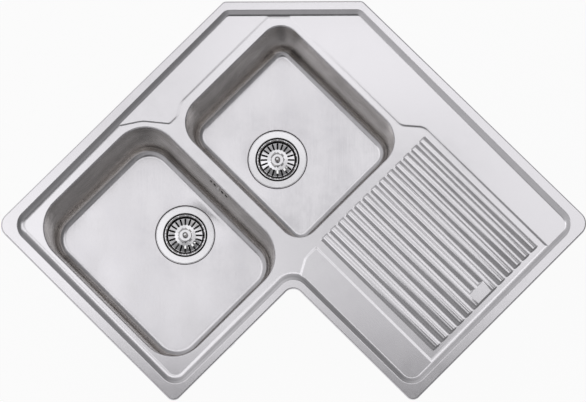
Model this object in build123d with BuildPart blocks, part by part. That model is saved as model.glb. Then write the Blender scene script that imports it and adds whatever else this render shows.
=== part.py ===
"""Inset corner kitchen sink with two bowls and a ribbed drainer.

The origin is the centre of the square that the two wall sides span, on the worktop's upper face.
+X runs along the right-hand wall, +Y points at the back wall and +Z is up. Sizes are in millimetres.
"""

from build123d import *
import os
from dataclasses import dataclass
from math import atan, cos, degrees, radians, sin, sqrt, tan

os.makedirs("parts", exist_ok=True)

# Plan outline
wall_length = 830.0  # outer length along each wall
arm_depth = 500.0  # depth of each arm, from the wall to the user
corner_cut = 195.0  # leg of the cut-off back corner
outline_wall_radius = 28.0  # where an arm's end meets its wall
outline_front_radius = 16.0
outline_inner_radius = 20.0
outline_cut_radius = 12.0

# Pressed sheet of the deck: levels above the worktop, and the rim's section
sheet = 0.9
rim_top = 7.0
rim_gap = 0.3  # between the turned-down lip and the worktop
lip_radius = 3.0
flange_width = 18.0
step_run = 11.0
deck_top = 1.0
step_radius = 33.0
step_inner_radius = 30.0
step_cut_radius = 20.0
step_crest_radius = 4.0
step_root_radius = 18.0

# Bowls
front_margin = 47.0  # from the front edges to both bowls
left_bowl_wall_margin = 50.0
left_bowl_end_margin = 45.0
left_bowl_length = 322.0
left_bowl_radius = 70.0
divider_width = 27.0
corner_bowl_wall_margin = 103.0
corner_bowl_back_margin = 138.0
corner_bowl_radius = 56.0
corner_bowl_tip_radius = 42.0  # at the corners nearest the wall corner and the user
bowl_depth = 160.0
bowl_draft = 5.0  # degrees
floor_radius = 20.0
opening_roll_radius = 3.0
collar_depth = 6.0  # the deck's collar, down to its weld with the bowl
left_waste_from_divider = 104.0
left_waste_shift = 4.0  # from the left bowl's middle towards the user
corner_waste_from_divider = 109.0

# Raised ledges of the deck and the drainer's ribs
ledge_height = 0.8
ledge_run = 6.0
left_ledge_width = 87.0  # from the outline to the ledge's border
tap_ledge_width = 127.5
drainer_ledge_width = 97.5
front_panel_width = 87.5
front_panel_start = 23.0  # from the corner bowl's opening
front_panel_corner = 6.0
front_panel_slant_start = 55.0  # from the right arm's front edge
front_panel_slant = 20.0
left_ledge_front = 70.0  # from the divider to the ledge's slanted front border
left_ledge_front_slant = 8.0
left_ledge_bend = (9.0, 18.0)  # from the left bowl's opening and from the divider
left_ledge_step = (17.0, 40.0, 66.0)  # from the divider: the step in beside it starts, turns and ends
left_ledge_side = 20.0  # from the left bowl's opening
ledge_bowl_gap = 1.0  # from the corner bowl's opening to the left ledge's foot
tap_ledge_slope_start = 26.0  # from the corner bowl's right side
tap_ledge_slope_end = 9.0
ledge_bend_radius = 25.0
drainer_gap = 20.0  # from the corner bowl's opening to the first rib ends
drainer_end_margin = 43.0
rib_count = 13
rib_pitch = 22.7
rib_height = 1.6
rib_width = 19.0  # across the foot
rib_run = 6.5
rib_corner_radius = 8.0
first_rib_margin = 116.3  # from the back edge to the first rib's centre
pad_length = 32.0  # plain pad that cuts off two valleys
pad_ribs = 2  # valleys that the pad cuts off
pad_first_rib = 5

# Waste sets: radii, and depths below the bowl floor
recess_radius = 61.0  # shallow round recess that takes the dish's flange
recess_depth = 2.4
recess_run = 2.5
waste_hole_radius = 45.0
dish_sheet = 0.8
dish_seal_thickness = 0.8
dish_flange_radius = 57.5
dish_mouth_radius = 44.4
dish_mouth_bend = 1.2
dish_throat_radius = 42.8
dish_throat_depth = 4.5
dish_floor_radius = 40.5
dish_floor_bend = 4.0
dish_depth = 18.0
dish_hole_radius = 6.5
dish_hole_circle = 25.0  # radius of the circle that the drain holes lie on
dish_hole_count = 8
dish_screw_play = 0.3
seal_bore_radius = 46.5
body_gasket_thickness = 3.0
body_flange_radius = 58.5
body_flange_thickness = 4.0
body_radius = 49.5
body_wall = 3.2
body_cup_depth = 40.0
body_cone_depth = 53.0
body_tail_depth = 82.0
tail_radius = 23.9  # 1 1/2 inch pipe thread
tail_wall = 3.9
boss_radius = 8.0
boss_length = 17.0
web_count = 3
web_thickness = 3.0
web_height = 8.0
clamp_screw_radius = 3.0
clamp_screw_length = 16.0
clamp_head_radius = 6.0
clamp_head_height = 3.4
screw_play = 0.05

# Strainer baskets: radii, and depths below the bowl floor
basket_sheet = 0.7
basket_rim_radius = 42.2
basket_rim_depth = 1.4
basket_mouth_radius = 38.6
basket_trough_radius = 36.2
basket_trough_depth = 10.5
basket_dome_radius = 21.5
basket_dome_depth = 7.0
basket_hub_radius = 11.0
basket_hub_depth = 3.6
basket_hub_step = 1.2
basket_bend = 1.0
slot_count = 20
slot_width = 3.0
slot_inner_radius = 22.0
slot_outer_radius = 36.0
knob_stem_radius = 3.5
knob_radius = 7.0
knob_height = 11.0  # above the hub
knob_dome_height = 5.0
knob_skirt = 1.0
stud_radius = 2.4
sleeve_radius = 9.5
sleeve_web = 3.0
moving_gap = 0.3
ring_height = 3.4  # of the rubber stopper ring

# Overflow of the left bowl
overflow_drop = 29.0  # below the deck
overflow_slot_width = 7.5
overflow_slot_height = 5.0
overflow_slot_corner = 1.5
overflow_pitch = 10.6
overflow_width = 64.0
overflow_height = 26.0
overflow_corner = 8.0
overflow_wall = 2.5
overflow_gasket_thickness = 2.0
overflow_depth = 24.0
overflow_boss_radius = 4.0
overflow_screw_radius = 2.0
overflow_head_radius = 4.2
overflow_head_height = 2.2
pipe_radius = 11.0
pipe_wall = 2.0
pipe_bend_radius = 38.0
spigot_length = 12.0
pipe_nut_radius = 15.0
pipe_nut_length = 14.0
pipe_depth = 28.0  # below the bowl floor

# Worktop seal, sound-deadening pads and worktop fixings
seal_inset = 4.0
seal_width = 9.0
pad_thickness = 2.5
pad_margin = 58.0  # from the bowl's opening to the pad's edge
pad_corner = 20.0
pad_hole_radius = 66.0
worktop = 38.0
fixing_inset = 27.0  # from the outline to the bolt
bracket_sheet = 1.5
bracket_width = 24.0
bracket_drop = 10.0
bracket_outer_inset = 20.0
bracket_leg_inset = 31.5
bracket_inner_inset = 41.0
bolt_radius = 2.5
bolt_play = 0.05
bolt_head_across = 8.0
bolt_head_height = 3.5
bolt_tail = 4.0
dog_sheet = 2.5
dog_reach = 22.5
dog_heel = 11.0
dog_width = 14.0
dog_tip_height = 3.5
dog_tip_length = 6.0
dog_tooth = 1.2
dog_hub_radius = 6.0
dog_hub_height = 2.0
nut_height = 4.0
left_edge_fixings = (-220.0, 90.0)  # y along the left wall
back_edge_fixings = (-60.0, 250.0)  # x along the back wall
right_edge_fixing = 165.0  # y on the right arm's end
inner_edge_fixing = 250.0  # along either inner edge, from the middle of the plan
end_edge_fixing = -165.0  # x on the left arm's end
cut_fixing_shift = 20.0  # of the fixing on the cut-off corner, to the left

# Places that follow from the sizes
half = wall_length / 2
front = arm_depth - half  # the left arm's front edge is x = front, the right arm's is y = -front
floor_z = deck_top - bowl_depth
ledge_top = deck_top + ledge_height
collar_bottom = deck_top - collar_depth


@dataclass
class Bowl:
    """One bowl: its opening's sides at deck level, its corner radii from the left front, and its waste."""

    name: str
    x_min: float
    x_max: float
    y_min: float
    y_max: float
    radii: tuple
    waste_x: float
    waste_y: float

    @property
    def centre(self):
        return ((self.x_min + self.x_max) / 2, (self.y_min + self.y_max) / 2)


bowl_front = front - front_margin
left_bowl_side = -half + left_bowl_wall_margin
corner_bowl_side = -half + corner_bowl_wall_margin
left_bowl_start = -half + left_bowl_end_margin
divider_front = left_bowl_start + left_bowl_length
divider_back = divider_front + divider_width
left = Bowl(
    "left",
    left_bowl_side,
    bowl_front,
    left_bowl_start,
    divider_front,
    (left_bowl_radius,) * 4,
    (left_bowl_side + bowl_front) / 2 + left_waste_shift,
    divider_front - left_waste_from_divider,
)
corner = Bowl(
    "corner",
    corner_bowl_side,
    bowl_front,
    divider_back,
    half - corner_bowl_back_margin,
    (corner_bowl_radius, corner_bowl_tip_radius) * 2,
    (corner_bowl_side + bowl_front) / 2,
    divider_back + corner_waste_from_divider,
)
bowls = (left, corner)


def plan_outline(inset, at_wall, at_front, inner, cut):
    """Sketch of the sink's plan, inset from its outline, with its four kinds of corner radius."""
    wall = half - inset
    edge = front - inset
    cut_start = corner_cut - half + inset * (sqrt(2) - 1)
    corners = [
        (-wall, -wall),
        (edge, -wall),
        (edge, -edge),
        (wall, -edge),
        (wall, wall),
        (cut_start, wall),
        (-wall, -cut_start),
    ]
    radii = [at_wall, at_front, inner, at_front, at_wall, cut, cut]
    with BuildSketch() as outline:
        with BuildLine():
            FilletPolyline(*corners, radius=radii, close=True)
        make_face()
    return outline.sketch


def lip_outline(inset):
    """The outer outline, inset with concentric corners."""
    return plan_outline(
        inset,
        outline_wall_radius - inset,
        max(outline_front_radius - inset, 1.0),
        outline_inner_radius + inset,
        max(outline_cut_radius - inset, 1.0),
    )


def step_outline(inset):
    """The outline of the rim's step, which keeps its own corner radii."""
    return plan_outline(inset, step_radius, step_radius, step_inner_radius, step_cut_radius)


def raised_area(points, radii, inset):
    """A raised ledge of the deck, with a sloped border and no more than the area inside the flange."""
    base = ledge_height / 2  # the border's slope goes on below the deck, for a clean join
    slope = degrees(atan(ledge_run / ledge_height))
    with BuildPart() as ledge:
        with BuildSketch(Plane.XY.offset(deck_top - inset - base)):
            with BuildLine():
                FilletPolyline(*points, radius=radii, close=True)
            make_face()
            offset(amount=ledge_run * base / ledge_height)
        extrude(amount=ledge_height + base, taper=slope)
        with BuildSketch(Plane.XY.offset(deck_top - inset - base)):
            add(step_outline(flange_width + 2.0))
        extrude(amount=ledge_height + base, mode=Mode.INTERSECT)
    return ledge.part


def drainer_ribs(level):
    """The parallel ribs beside the corner bowl, and the pad that cuts off two valleys at their far end."""
    start = bowl_front + drainer_gap
    end = half - drainer_end_margin
    slope = degrees(atan(rib_run / rib_height))
    first = half - first_rib_margin
    pad_centre = first - (pad_first_rib + pad_ribs / 2) * rib_pitch
    with BuildPart() as ribs:
        with BuildSketch(Plane.XY.offset(level)):
            for index in range(rib_count):
                with Locations(((start + end) / 2, first - index * rib_pitch)):
                    RectangleRounded(end - start, rib_width, rib_corner_radius)
        extrude(amount=rib_height, taper=slope)
        with BuildSketch(Plane.XY.offset(level)):
            with Locations((end - pad_length / 2, pad_centre)):
                RectangleRounded(pad_length, pad_ribs * rib_pitch + rib_width / 2, rib_corner_radius)
        extrude(amount=rib_height, taper=slope)
    return ribs.part


def ledge_borders():
    """Corner points and bend radii of the three raised ledges, each closed outside the rim step."""
    left_x = -half + left_ledge_width
    beyond = half - flange_width
    cut_line = 2 * half - corner_cut
    left_ledge = (
        [
            (left_x, cut_line + left_x - flange_width),
            (-beyond, cut_line - beyond - flange_width),
            (-beyond, divider_front - left_ledge_front),
            (left.x_min - left_ledge_side, divider_front - left_ledge_front + left_ledge_front_slant),
            (left.x_min + left_ledge_bend[0], divider_front - left_ledge_bend[1]),
            (corner.x_min - ledge_bowl_gap, divider_front + left_ledge_step[0]),
            (corner.x_min - ledge_bowl_gap, divider_front + left_ledge_step[1]),
            (left_x, divider_front + left_ledge_step[2]),
        ],
        [0, 0, 0, 0, 2 * ledge_bend_radius, ledge_bend_radius / 2, ledge_bend_radius, ledge_bend_radius],
    )
    back_y = half - tap_ledge_width
    drainer_y = half - drainer_ledge_width
    back_ledge = (
        [
            (corner.x_min, back_y),
            (bowl_front - tap_ledge_slope_start, back_y),
            (bowl_front + tap_ledge_slope_end, drainer_y),
            (beyond, drainer_y),
            (beyond, beyond),
            (corner.x_min, beyond),
        ],
        [0, ledge_bend_radius, ledge_bend_radius, 0, 0, 0],
    )
    panel_x = bowl_front + front_panel_start
    panel_y = front_panel_width - front
    front_panel = (
        [
            (beyond, panel_y),
            (panel_x, panel_y),
            (panel_x, front_panel_slant_start - front),
            (panel_x + front_panel_slant, flange_width - front),
            (beyond, flange_width - front),
        ],
        [0, front_panel_corner, ledge_bend_radius, 0, 0],
    )
    return left_ledge, back_ledge, front_panel


def bowl_opening(bowl, grow):
    """The bowl's opening at deck level, grown by an amount all round."""
    corners = [
        (bowl.x_min - grow, bowl.y_min - grow),
        (bowl.x_max + grow, bowl.y_min - grow),
        (bowl.x_max + grow, bowl.y_max + grow),
        (bowl.x_min - grow, bowl.y_max + grow),
    ]
    with BuildSketch() as opening:
        with BuildLine():
            FilletPolyline(*corners, radius=[radius + grow for radius in bowl.radii], close=True)
        make_face()
    return opening.sketch


def pressed_form(skin):
    """All that lies below the deck's upper face, or below its underside where skin is the sheet."""
    bottom = collar_bottom - skin
    top = rim_top - skin
    deck = deck_top - skin
    slope = degrees(atan(step_run / (rim_top - deck_top)))
    with BuildPart() as form:
        with BuildSketch(Plane.XY.offset(bottom)):
            add(lip_outline(skin))
        extrude(amount=top - bottom)
        fillet(form.faces().sort_by(Axis.Z)[-1].edges(), lip_radius - skin)
        with BuildSketch(Plane.XY.offset(top)):
            add(step_outline(flange_width))
        extrude(amount=deck - top, taper=slope, mode=Mode.SUBTRACT)
        crest = form.faces().sort_by(Axis.Z)[-1].inner_wires()[0].edges()
        fillet(crest, step_crest_radius - skin)
        floor_face = form.faces().filter_by(Plane.XY).sort_by(Axis.Z)[-2]
        fillet(floor_face.outer_wire().edges(), step_root_radius + skin)
        for bowl in bowls:
            with BuildSketch(Plane.XY.offset(deck)):
                add(bowl_opening(bowl, skin))
            extrude(amount=bottom - deck, taper=bowl_draft, mode=Mode.SUBTRACT)
        floor_face = form.faces().filter_by(Plane.XY).sort_by(Axis.Z)[-2]
        rolled = [edge for wire in floor_face.inner_wires() for edge in wire.edges()]
        fillet(rolled, opening_roll_radius - skin)
        for points, radii in ledge_borders():
            add(raised_area(points, radii, skin))
        add(drainer_ribs(deck))
    return form.part


def save(part, name):
    """Labels a finished piece and writes it as a STEP file under its name."""
    part.label = name
    export_step(part, f"parts/{name}.step")


# Deck: one pressed sheet, whose turned-down lip ends just above the worktop
with BuildPart() as sink_deck:
    add(pressed_form(0.0))
    add(pressed_form(sheet), mode=Mode.SUBTRACT)
    with BuildSketch(Plane.XY.offset(collar_bottom - sheet)):
        add(lip_outline(-sheet))
        add(lip_outline(lip_radius + sheet), mode=Mode.SUBTRACT)
    extrude(amount=rim_gap - collar_bottom + sheet, mode=Mode.SUBTRACT)
save(sink_deck.part, "sink_deck")


# Bowls: drafted walls, a large floor radius and a shallow recess round the waste
def bowl_form(bowl, skin):
    """All that lies inside the bowl's inner face, or inside its outer face where skin is the sheet."""
    with BuildPart() as form:
        with BuildSketch(Plane.XY.offset(deck_top - skin)):
            add(bowl_opening(bowl, skin))
        extrude(amount=-bowl_depth, taper=bowl_draft)
        fillet(form.edges().group_by(Axis.Z)[0], floor_radius + skin)
        with BuildSketch(Plane.XY.offset(floor_z - skin)):
            with Locations((bowl.waste_x, bowl.waste_y)):
                Circle(recess_radius + skin)
        extrude(amount=-recess_depth, taper=degrees(atan(recess_run / recess_depth)))
    return form.part


# The overflow sits on the left bowl's wall beside the divider, on a plane that follows the wall's draft.
overflow_z = deck_top - overflow_drop
overflow_inner_y = left.y_max - overflow_drop * tan(radians(bowl_draft))
overflow_outer_y = overflow_inner_y + sheet * (1 + tan(radians(bowl_draft)))
overflow_face = Plane(
    origin=(left.waste_x, overflow_outer_y, overflow_z),
    x_dir=(1, 0, 0),
    z_dir=(0, cos(radians(bowl_draft)), -sin(radians(bowl_draft))),
)


def drawn_bowl(bowl):
    """One bowl from its weld under the deck down to the waste hole."""
    with BuildPart() as shell:
        add(bowl_form(bowl, sheet))
        add(bowl_form(bowl, 0.0), mode=Mode.SUBTRACT)
        with BuildSketch(Plane.XY.offset(collar_bottom)):
            add(bowl_opening(bowl, collar_depth))
        extrude(amount=collar_depth, mode=Mode.SUBTRACT)
        with BuildSketch(Plane.XY.offset(floor_z)):
            with Locations((bowl.waste_x, bowl.waste_y)):
                Circle(waste_hole_radius)
        extrude(amount=-2 * recess_depth, mode=Mode.SUBTRACT)
        if bowl is left:
            with BuildSketch(overflow_face.offset(-2 * sheet)):
                for step in (-2, -1, 1, 2):
                    with Locations((step * overflow_pitch, 0)):
                        RectangleRounded(overflow_slot_width, overflow_slot_height, overflow_slot_corner)
                Circle(overflow_screw_radius + screw_play)
            extrude(amount=3 * sheet, mode=Mode.SUBTRACT)
    return shell.part


for bowl in bowls:
    save(drawn_bowl(bowl), f"{bowl.name}_bowl")


# Sound-deadening pads, stuck under the floors and cut out round the wastes
def floor_pad(bowl):
    """The pad under one bowl."""
    with BuildPart() as pad:
        with BuildSketch(Plane.XY.offset(floor_z - sheet)):
            with Locations(bowl.centre):
                RectangleRounded(
                    bowl.x_max - bowl.x_min - 2 * pad_margin,
                    bowl.y_max - bowl.y_min - 2 * pad_margin,
                    pad_corner,
                )
            with Locations((bowl.waste_x, bowl.waste_y)):
                Circle(pad_hole_radius, mode=Mode.SUBTRACT)
        extrude(amount=-pad_thickness)
    return pad.part


for bowl in bowls:
    save(floor_pad(bowl), f"{bowl.name}_bowl_pad")

# Worktop seal: a rubber strip between the flange and the worktop
with BuildPart() as worktop_seal:
    with BuildSketch(Plane.XY):
        add(lip_outline(seal_inset))
        add(lip_outline(seal_inset + seal_width), mode=Mode.SUBTRACT)
    extrude(amount=rim_top - sheet)
save(worktop_seal.part, "worktop_seal")

# Wastes: levels from the bowl floor, each fixed by the piece above it
flange_level = dish_seal_thickness + dish_sheet - recess_depth
recess_underside = -recess_depth - sheet
body_top = recess_underside - body_gasket_thickness
dish_underside = -dish_depth - dish_sheet
hub_underside = -basket_hub_depth - basket_sheet


def waste_section(bowl):
    """Upright plane through the waste's axis: x is the radius, y the height above the bowl floor."""
    return Plane(origin=(bowl.waste_x, bowl.waste_y, floor_z), x_dir=(1, 0, 0), z_dir=(0, -1, 0))


def waste_level(bowl, height):
    """Level plane centred on the waste's axis."""
    return Plane(origin=(bowl.waste_x, bowl.waste_y, floor_z + height))


def waste_axis(bowl):
    """The waste's upright axis."""
    return Axis((bowl.waste_x, bowl.waste_y, floor_z), (0, 0, 1))


def washer(bowl, bore, radius, bottom, top):
    """A flat ring about the waste's axis."""
    with BuildPart() as ring:
        with BuildSketch(waste_level(bowl, bottom)):
            Circle(radius)
            Circle(bore, mode=Mode.SUBTRACT)
        extrude(amount=top - bottom)
    return ring.part


def strainer_dish(bowl):
    """The stainless dish: flange in the floor's recess, steep wall, and a floor with drain holes."""
    with BuildPart() as dish:
        with BuildSketch(waste_section(bowl)):
            with BuildLine():
                FilletPolyline(
                    (0, -dish_depth),
                    (dish_floor_radius, -dish_depth),
                    (dish_throat_radius, -dish_throat_depth),
                    (dish_mouth_radius, flange_level),
                    (dish_flange_radius, flange_level),
                    radius=[dish_floor_bend, dish_mouth_bend, dish_mouth_bend],
                )
                offset(amount=dish_sheet, side=Side.RIGHT)
            make_face()
        revolve(axis=waste_axis(bowl))
        with BuildSketch(waste_level(bowl, dish_underside)):
            Circle(clamp_screw_radius + dish_screw_play)
            with PolarLocations(dish_hole_circle, dish_hole_count):
                Circle(dish_hole_radius)
        extrude(amount=2 * dish_sheet, mode=Mode.SUBTRACT)
    return dish.part


def waste_body(bowl):
    """The moulded body: flange, cup, cone, threaded outlet, and a webbed boss for the clamp screw."""
    inner = body_radius - body_wall
    tail_bore = tail_radius - tail_wall
    with BuildPart() as body:
        with BuildSketch(waste_section(bowl)):
            with BuildLine():
                Polyline(
                    (inner, body_top),
                    (body_flange_radius, body_top),
                    (body_flange_radius, body_top - body_flange_thickness),
                    (body_radius, body_top - body_flange_thickness),
                    (body_radius, -body_cup_depth),
                    (tail_radius, -body_cone_depth),
                    (tail_radius, -body_tail_depth),
                    (tail_bore, -body_tail_depth),
                    (tail_bore, -body_cone_depth + body_wall / 2),
                    (inner, -body_cup_depth + body_wall / 2),
                    close=True,
                )
            make_face()
        revolve(axis=waste_axis(bowl))
        if bowl is left:
            spigot_level = Plane(
                origin=(bowl.waste_x, bowl.waste_y, floor_z - pipe_depth), x_dir=(1, 0, 0), z_dir=(0, 1, 0)
            )
            with BuildSketch(spigot_level.offset(inner + body_wall / 2)):
                Circle(pipe_radius)
            extrude(amount=spigot_length + body_wall / 2)
            with BuildSketch(spigot_level.offset(inner - body_wall)):
                Circle(pipe_radius - pipe_wall)
            extrude(amount=spigot_length + 2 * body_wall, mode=Mode.SUBTRACT)
        with BuildSketch(waste_level(bowl, dish_underside - boss_length)):
            Circle(boss_radius)
        extrude(amount=boss_length)
        with BuildSketch(waste_level(bowl, dish_underside - boss_length + web_thickness)):
            with PolarLocations((inner + body_wall / 2) / 2, web_count, start_angle=-90):
                Rectangle(inner + body_wall / 2, web_thickness)
        extrude(amount=web_height)
        with BuildSketch(waste_level(bowl, dish_underside - boss_length)):
            Circle(clamp_screw_radius + screw_play)
        extrude(amount=boss_length, mode=Mode.SUBTRACT)
    return body.part


def clamp_screw(bowl):
    """The screw that pulls the dish and the waste body together through the bowl's floor."""
    with BuildPart() as screw:
        with BuildSketch(waste_level(bowl, -dish_depth)):
            Circle(clamp_head_radius)
        extrude(amount=clamp_head_height)
        fillet(screw.edges().group_by(Axis.Z)[-1], clamp_head_height / 3)
        with BuildSketch(waste_level(bowl, -dish_depth)):
            Circle(clamp_screw_radius)
        extrude(amount=-clamp_screw_length)
    return screw.part


def basket(bowl):
    """The pressed strainer basket: rolled rim, steep wall, slotted trough and a raised hub."""
    with BuildPart() as cup:
        with BuildSketch(waste_section(bowl)):
            with BuildLine():
                FilletPolyline(
                    (0, -basket_hub_depth),
                    (basket_hub_radius, -basket_hub_depth),
                    (basket_hub_radius + basket_hub_step, -basket_hub_depth - basket_hub_step),
                    (basket_dome_radius, -basket_dome_depth),
                    (basket_trough_radius, -basket_trough_depth),
                    (basket_mouth_radius, -basket_rim_depth),
                    (basket_rim_radius, -basket_rim_depth),
                    radius=basket_bend,
                )
                offset(amount=basket_sheet, side=Side.RIGHT)
            make_face()
        revolve(axis=waste_axis(bowl))
        with BuildSketch(waste_level(bowl, -basket_trough_depth - 2 * basket_sheet)):
            with PolarLocations((slot_inner_radius + slot_outer_radius) / 2, slot_count):
                SlotOverall(slot_outer_radius - slot_inner_radius, slot_width)
            Circle(stud_radius + screw_play)
        extrude(amount=basket_trough_depth, mode=Mode.SUBTRACT)
    return cup.part


def basket_ring(bowl):
    """The rubber stopper ring under the basket's rim, which follows the basket's wall."""
    slope = (basket_mouth_radius - basket_trough_radius) / (basket_trough_depth - basket_rim_depth)
    wall = basket_sheet * sqrt(1 + slope**2) + screw_play
    top = -basket_rim_depth - basket_sheet - screw_play
    bottom = top - ring_height
    throat_slope = (dish_throat_radius - dish_floor_radius) / (dish_depth - dish_throat_depth)
    outer = dish_throat_radius + (bottom + dish_throat_depth) * throat_slope - moving_gap
    top_bore = basket_mouth_radius + (top - basket_bend + basket_rim_depth) * slope + wall
    bottom_bore = basket_mouth_radius + (bottom + basket_rim_depth) * slope + wall
    with BuildPart() as ring:
        with BuildSketch(waste_section(bowl)):
            with BuildLine():
                Polyline(
                    (top_bore + basket_bend, top),
                    (outer, top),
                    (outer, bottom),
                    (bottom_bore, bottom),
                    (top_bore, top - basket_bend),
                    close=True,
                )
            make_face()
        revolve(axis=waste_axis(bowl))
    return ring.part


def basket_sleeve(bowl):
    """The moulded sleeve under the hub, which slides over the clamp screw's head."""
    bottom = -dish_depth + 2 * moving_gap
    with BuildPart() as sleeve:
        with BuildSketch(waste_level(bowl, bottom)):
            Circle(sleeve_radius)
        extrude(amount=hub_underside - bottom)
        with BuildSketch(waste_level(bowl, bottom)):
            Circle(clamp_head_radius + moving_gap)
        extrude(amount=hub_underside - sleeve_web - bottom, mode=Mode.SUBTRACT)
        with BuildSketch(waste_level(bowl, bottom)):
            Circle(stud_radius + screw_play)
        extrude(amount=hub_underside - bottom, mode=Mode.SUBTRACT)
    return sleeve.part


def basket_knob(bowl):
    """The mushroom knob, with the stud that holds hub and sleeve together."""
    top = knob_height - basket_hub_depth
    brim = top - knob_dome_height
    dome_radius = (knob_radius**2 + knob_dome_height**2) / (2 * knob_dome_height)
    middle = (knob_radius / 2, top - dome_radius + sqrt(dome_radius**2 - knob_radius**2 / 4))
    with BuildPart() as knob:
        with BuildSketch(waste_section(bowl)):
            with BuildLine():
                Polyline(
                    (0, top),
                    (0, hub_underside - sleeve_web),
                    (stud_radius, hub_underside - sleeve_web),
                    (stud_radius, -basket_hub_depth),
                    (knob_stem_radius, -basket_hub_depth),
                    (knob_stem_radius, brim - knob_skirt),
                    (knob_radius, brim),
                )
                ThreePointArc((knob_radius, brim), middle, (0, top))
            make_face()
        revolve(axis=waste_axis(bowl))
    return knob.part


for bowl in bowls:
    seal_top = flange_level - dish_sheet
    dish_seal = washer(bowl, seal_bore_radius, dish_flange_radius, -recess_depth, seal_top)
    body_gasket = washer(bowl, seal_bore_radius, body_flange_radius, body_top, recess_underside)
    save(strainer_dish(bowl), f"{bowl.name}_strainer_dish")
    save(dish_seal, f"{bowl.name}_dish_seal")
    save(body_gasket, f"{bowl.name}_body_gasket")
    save(waste_body(bowl), f"{bowl.name}_waste_body")
    save(clamp_screw(bowl), f"{bowl.name}_clamp_screw")
    save(basket(bowl), f"{bowl.name}_basket")
    save(basket_ring(bowl), f"{bowl.name}_basket_ring")
    save(basket_sleeve(bowl), f"{bowl.name}_basket_sleeve")
    save(basket_knob(bowl), f"{bowl.name}_basket_knob")

# Overflow: gasket and housing behind the wall's slots, and a pipe down to the left waste body
pipe_y = overflow_outer_y + overflow_gasket_thickness + overflow_depth / 2
pipe_top = overflow_z - overflow_height / 2 - spigot_length
pipe_end_y = left.waste_y + body_radius + spigot_length
window_width = 4 * overflow_pitch + overflow_slot_width + 2 * overflow_wall

with BuildPart() as overflow_gasket:
    with BuildSketch(overflow_face):
        RectangleRounded(overflow_width, overflow_height, overflow_corner)
        RectangleRounded(
            window_width,
            overflow_height / 2,
            overflow_corner - 2 * overflow_wall,
            mode=Mode.SUBTRACT,
        )
    extrude(amount=overflow_gasket_thickness)
save(overflow_gasket.part, "overflow_gasket")

with BuildPart() as overflow_housing:
    with BuildSketch(overflow_face.offset(overflow_gasket_thickness)):
        RectangleRounded(overflow_width, overflow_height, overflow_corner)
    extrude(amount=overflow_depth)
    with BuildSketch(Plane(origin=(left.waste_x, pipe_y, pipe_top))):
        Circle(pipe_radius)
    extrude(amount=spigot_length + overflow_height / 4)
    with BuildSketch(overflow_face.offset(overflow_gasket_thickness)):
        RectangleRounded(
            overflow_width - 2 * overflow_wall,
            overflow_height - 2 * overflow_wall,
            overflow_corner - overflow_wall,
        )
    extrude(amount=overflow_depth - overflow_wall, mode=Mode.SUBTRACT)
    with BuildSketch(Plane(origin=(left.waste_x, pipe_y, pipe_top))):
        Circle(pipe_radius - pipe_wall)
    extrude(amount=spigot_length + overflow_height / 2, mode=Mode.SUBTRACT)
    with BuildSketch(overflow_face.offset(overflow_gasket_thickness)):
        Circle(overflow_boss_radius)
        Circle(overflow_screw_radius + screw_play, mode=Mode.SUBTRACT)
    extrude(amount=overflow_depth - overflow_wall)
save(overflow_housing.part, "overflow_housing")

with BuildPart() as overflow_screw:
    wall_thickness = (overflow_outer_y - overflow_inner_y) * cos(radians(bowl_draft))
    with BuildSketch(overflow_face.offset(-wall_thickness)):
        Circle(overflow_head_radius)
    extrude(amount=-overflow_head_height)
    fillet(overflow_screw.edges().group_by(Axis.Y)[0], overflow_head_height / 2)
    with BuildSketch(overflow_face.offset(-wall_thickness)):
        Circle(overflow_screw_radius)
    extrude(amount=overflow_depth / 2)
save(overflow_screw.part, "overflow_screw")

with BuildPart() as overflow_pipe:
    with BuildLine() as route:
        FilletPolyline(
            (left.waste_x, pipe_y, pipe_top),
            (left.waste_x, pipe_y, floor_z - pipe_depth),
            (left.waste_x, pipe_end_y, floor_z - pipe_depth),
            radius=pipe_bend_radius,
        )
    with BuildSketch(Plane(origin=(left.waste_x, pipe_y, pipe_top), z_dir=(0, 0, -1))):
        Circle(pipe_radius)
        Circle(pipe_radius - pipe_wall, mode=Mode.SUBTRACT)
    sweep()
save(overflow_pipe.part, "overflow_pipe")
pipe_section = overflow_pipe.part.volume / route.wire().length
print(f"overflow pipe: bend {pipe_bend_radius} mm, volume over length {pipe_section:.2f} mm2")

upper_joint = Plane(origin=(left.waste_x, pipe_y, pipe_top))
lower_joint = Plane(
    origin=(left.waste_x, pipe_end_y, floor_z - pipe_depth), x_dir=(1, 0, 0), z_dir=(0, 1, 0)
)
with BuildPart() as overflow_nuts:
    for joint in (upper_joint, lower_joint):
        with BuildSketch(joint):
            RegularPolygon(pipe_nut_radius, 8)
            Circle(pipe_radius + screw_play, mode=Mode.SUBTRACT)
        extrude(amount=pipe_nut_length / 2, both=True)
save(overflow_nuts.part, "overflow_nuts")


# Worktop fixings: a bracket welded under the deck, a bolt and nut, and a dog that swings on the bolt
@dataclass
class Fixing:
    """One fixing: a point on the outline, the outward direction and the height of the deck's underside."""

    x: float
    y: float
    direction: tuple
    seat: float

    def side(self):
        """Upright plane through the bolt, square to the edge: x is outward from the outline."""
        nx, ny = self.direction
        return Plane(origin=(self.x, self.y, 0), x_dir=(nx, ny, 0), z_dir=(ny, -nx, 0))

    def level(self, height):
        """Level plane at the outline, with x outward."""
        nx, ny = self.direction
        return Plane(origin=(self.x, self.y, height), x_dir=(nx, ny, 0), z_dir=(0, 0, 1))


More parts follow.
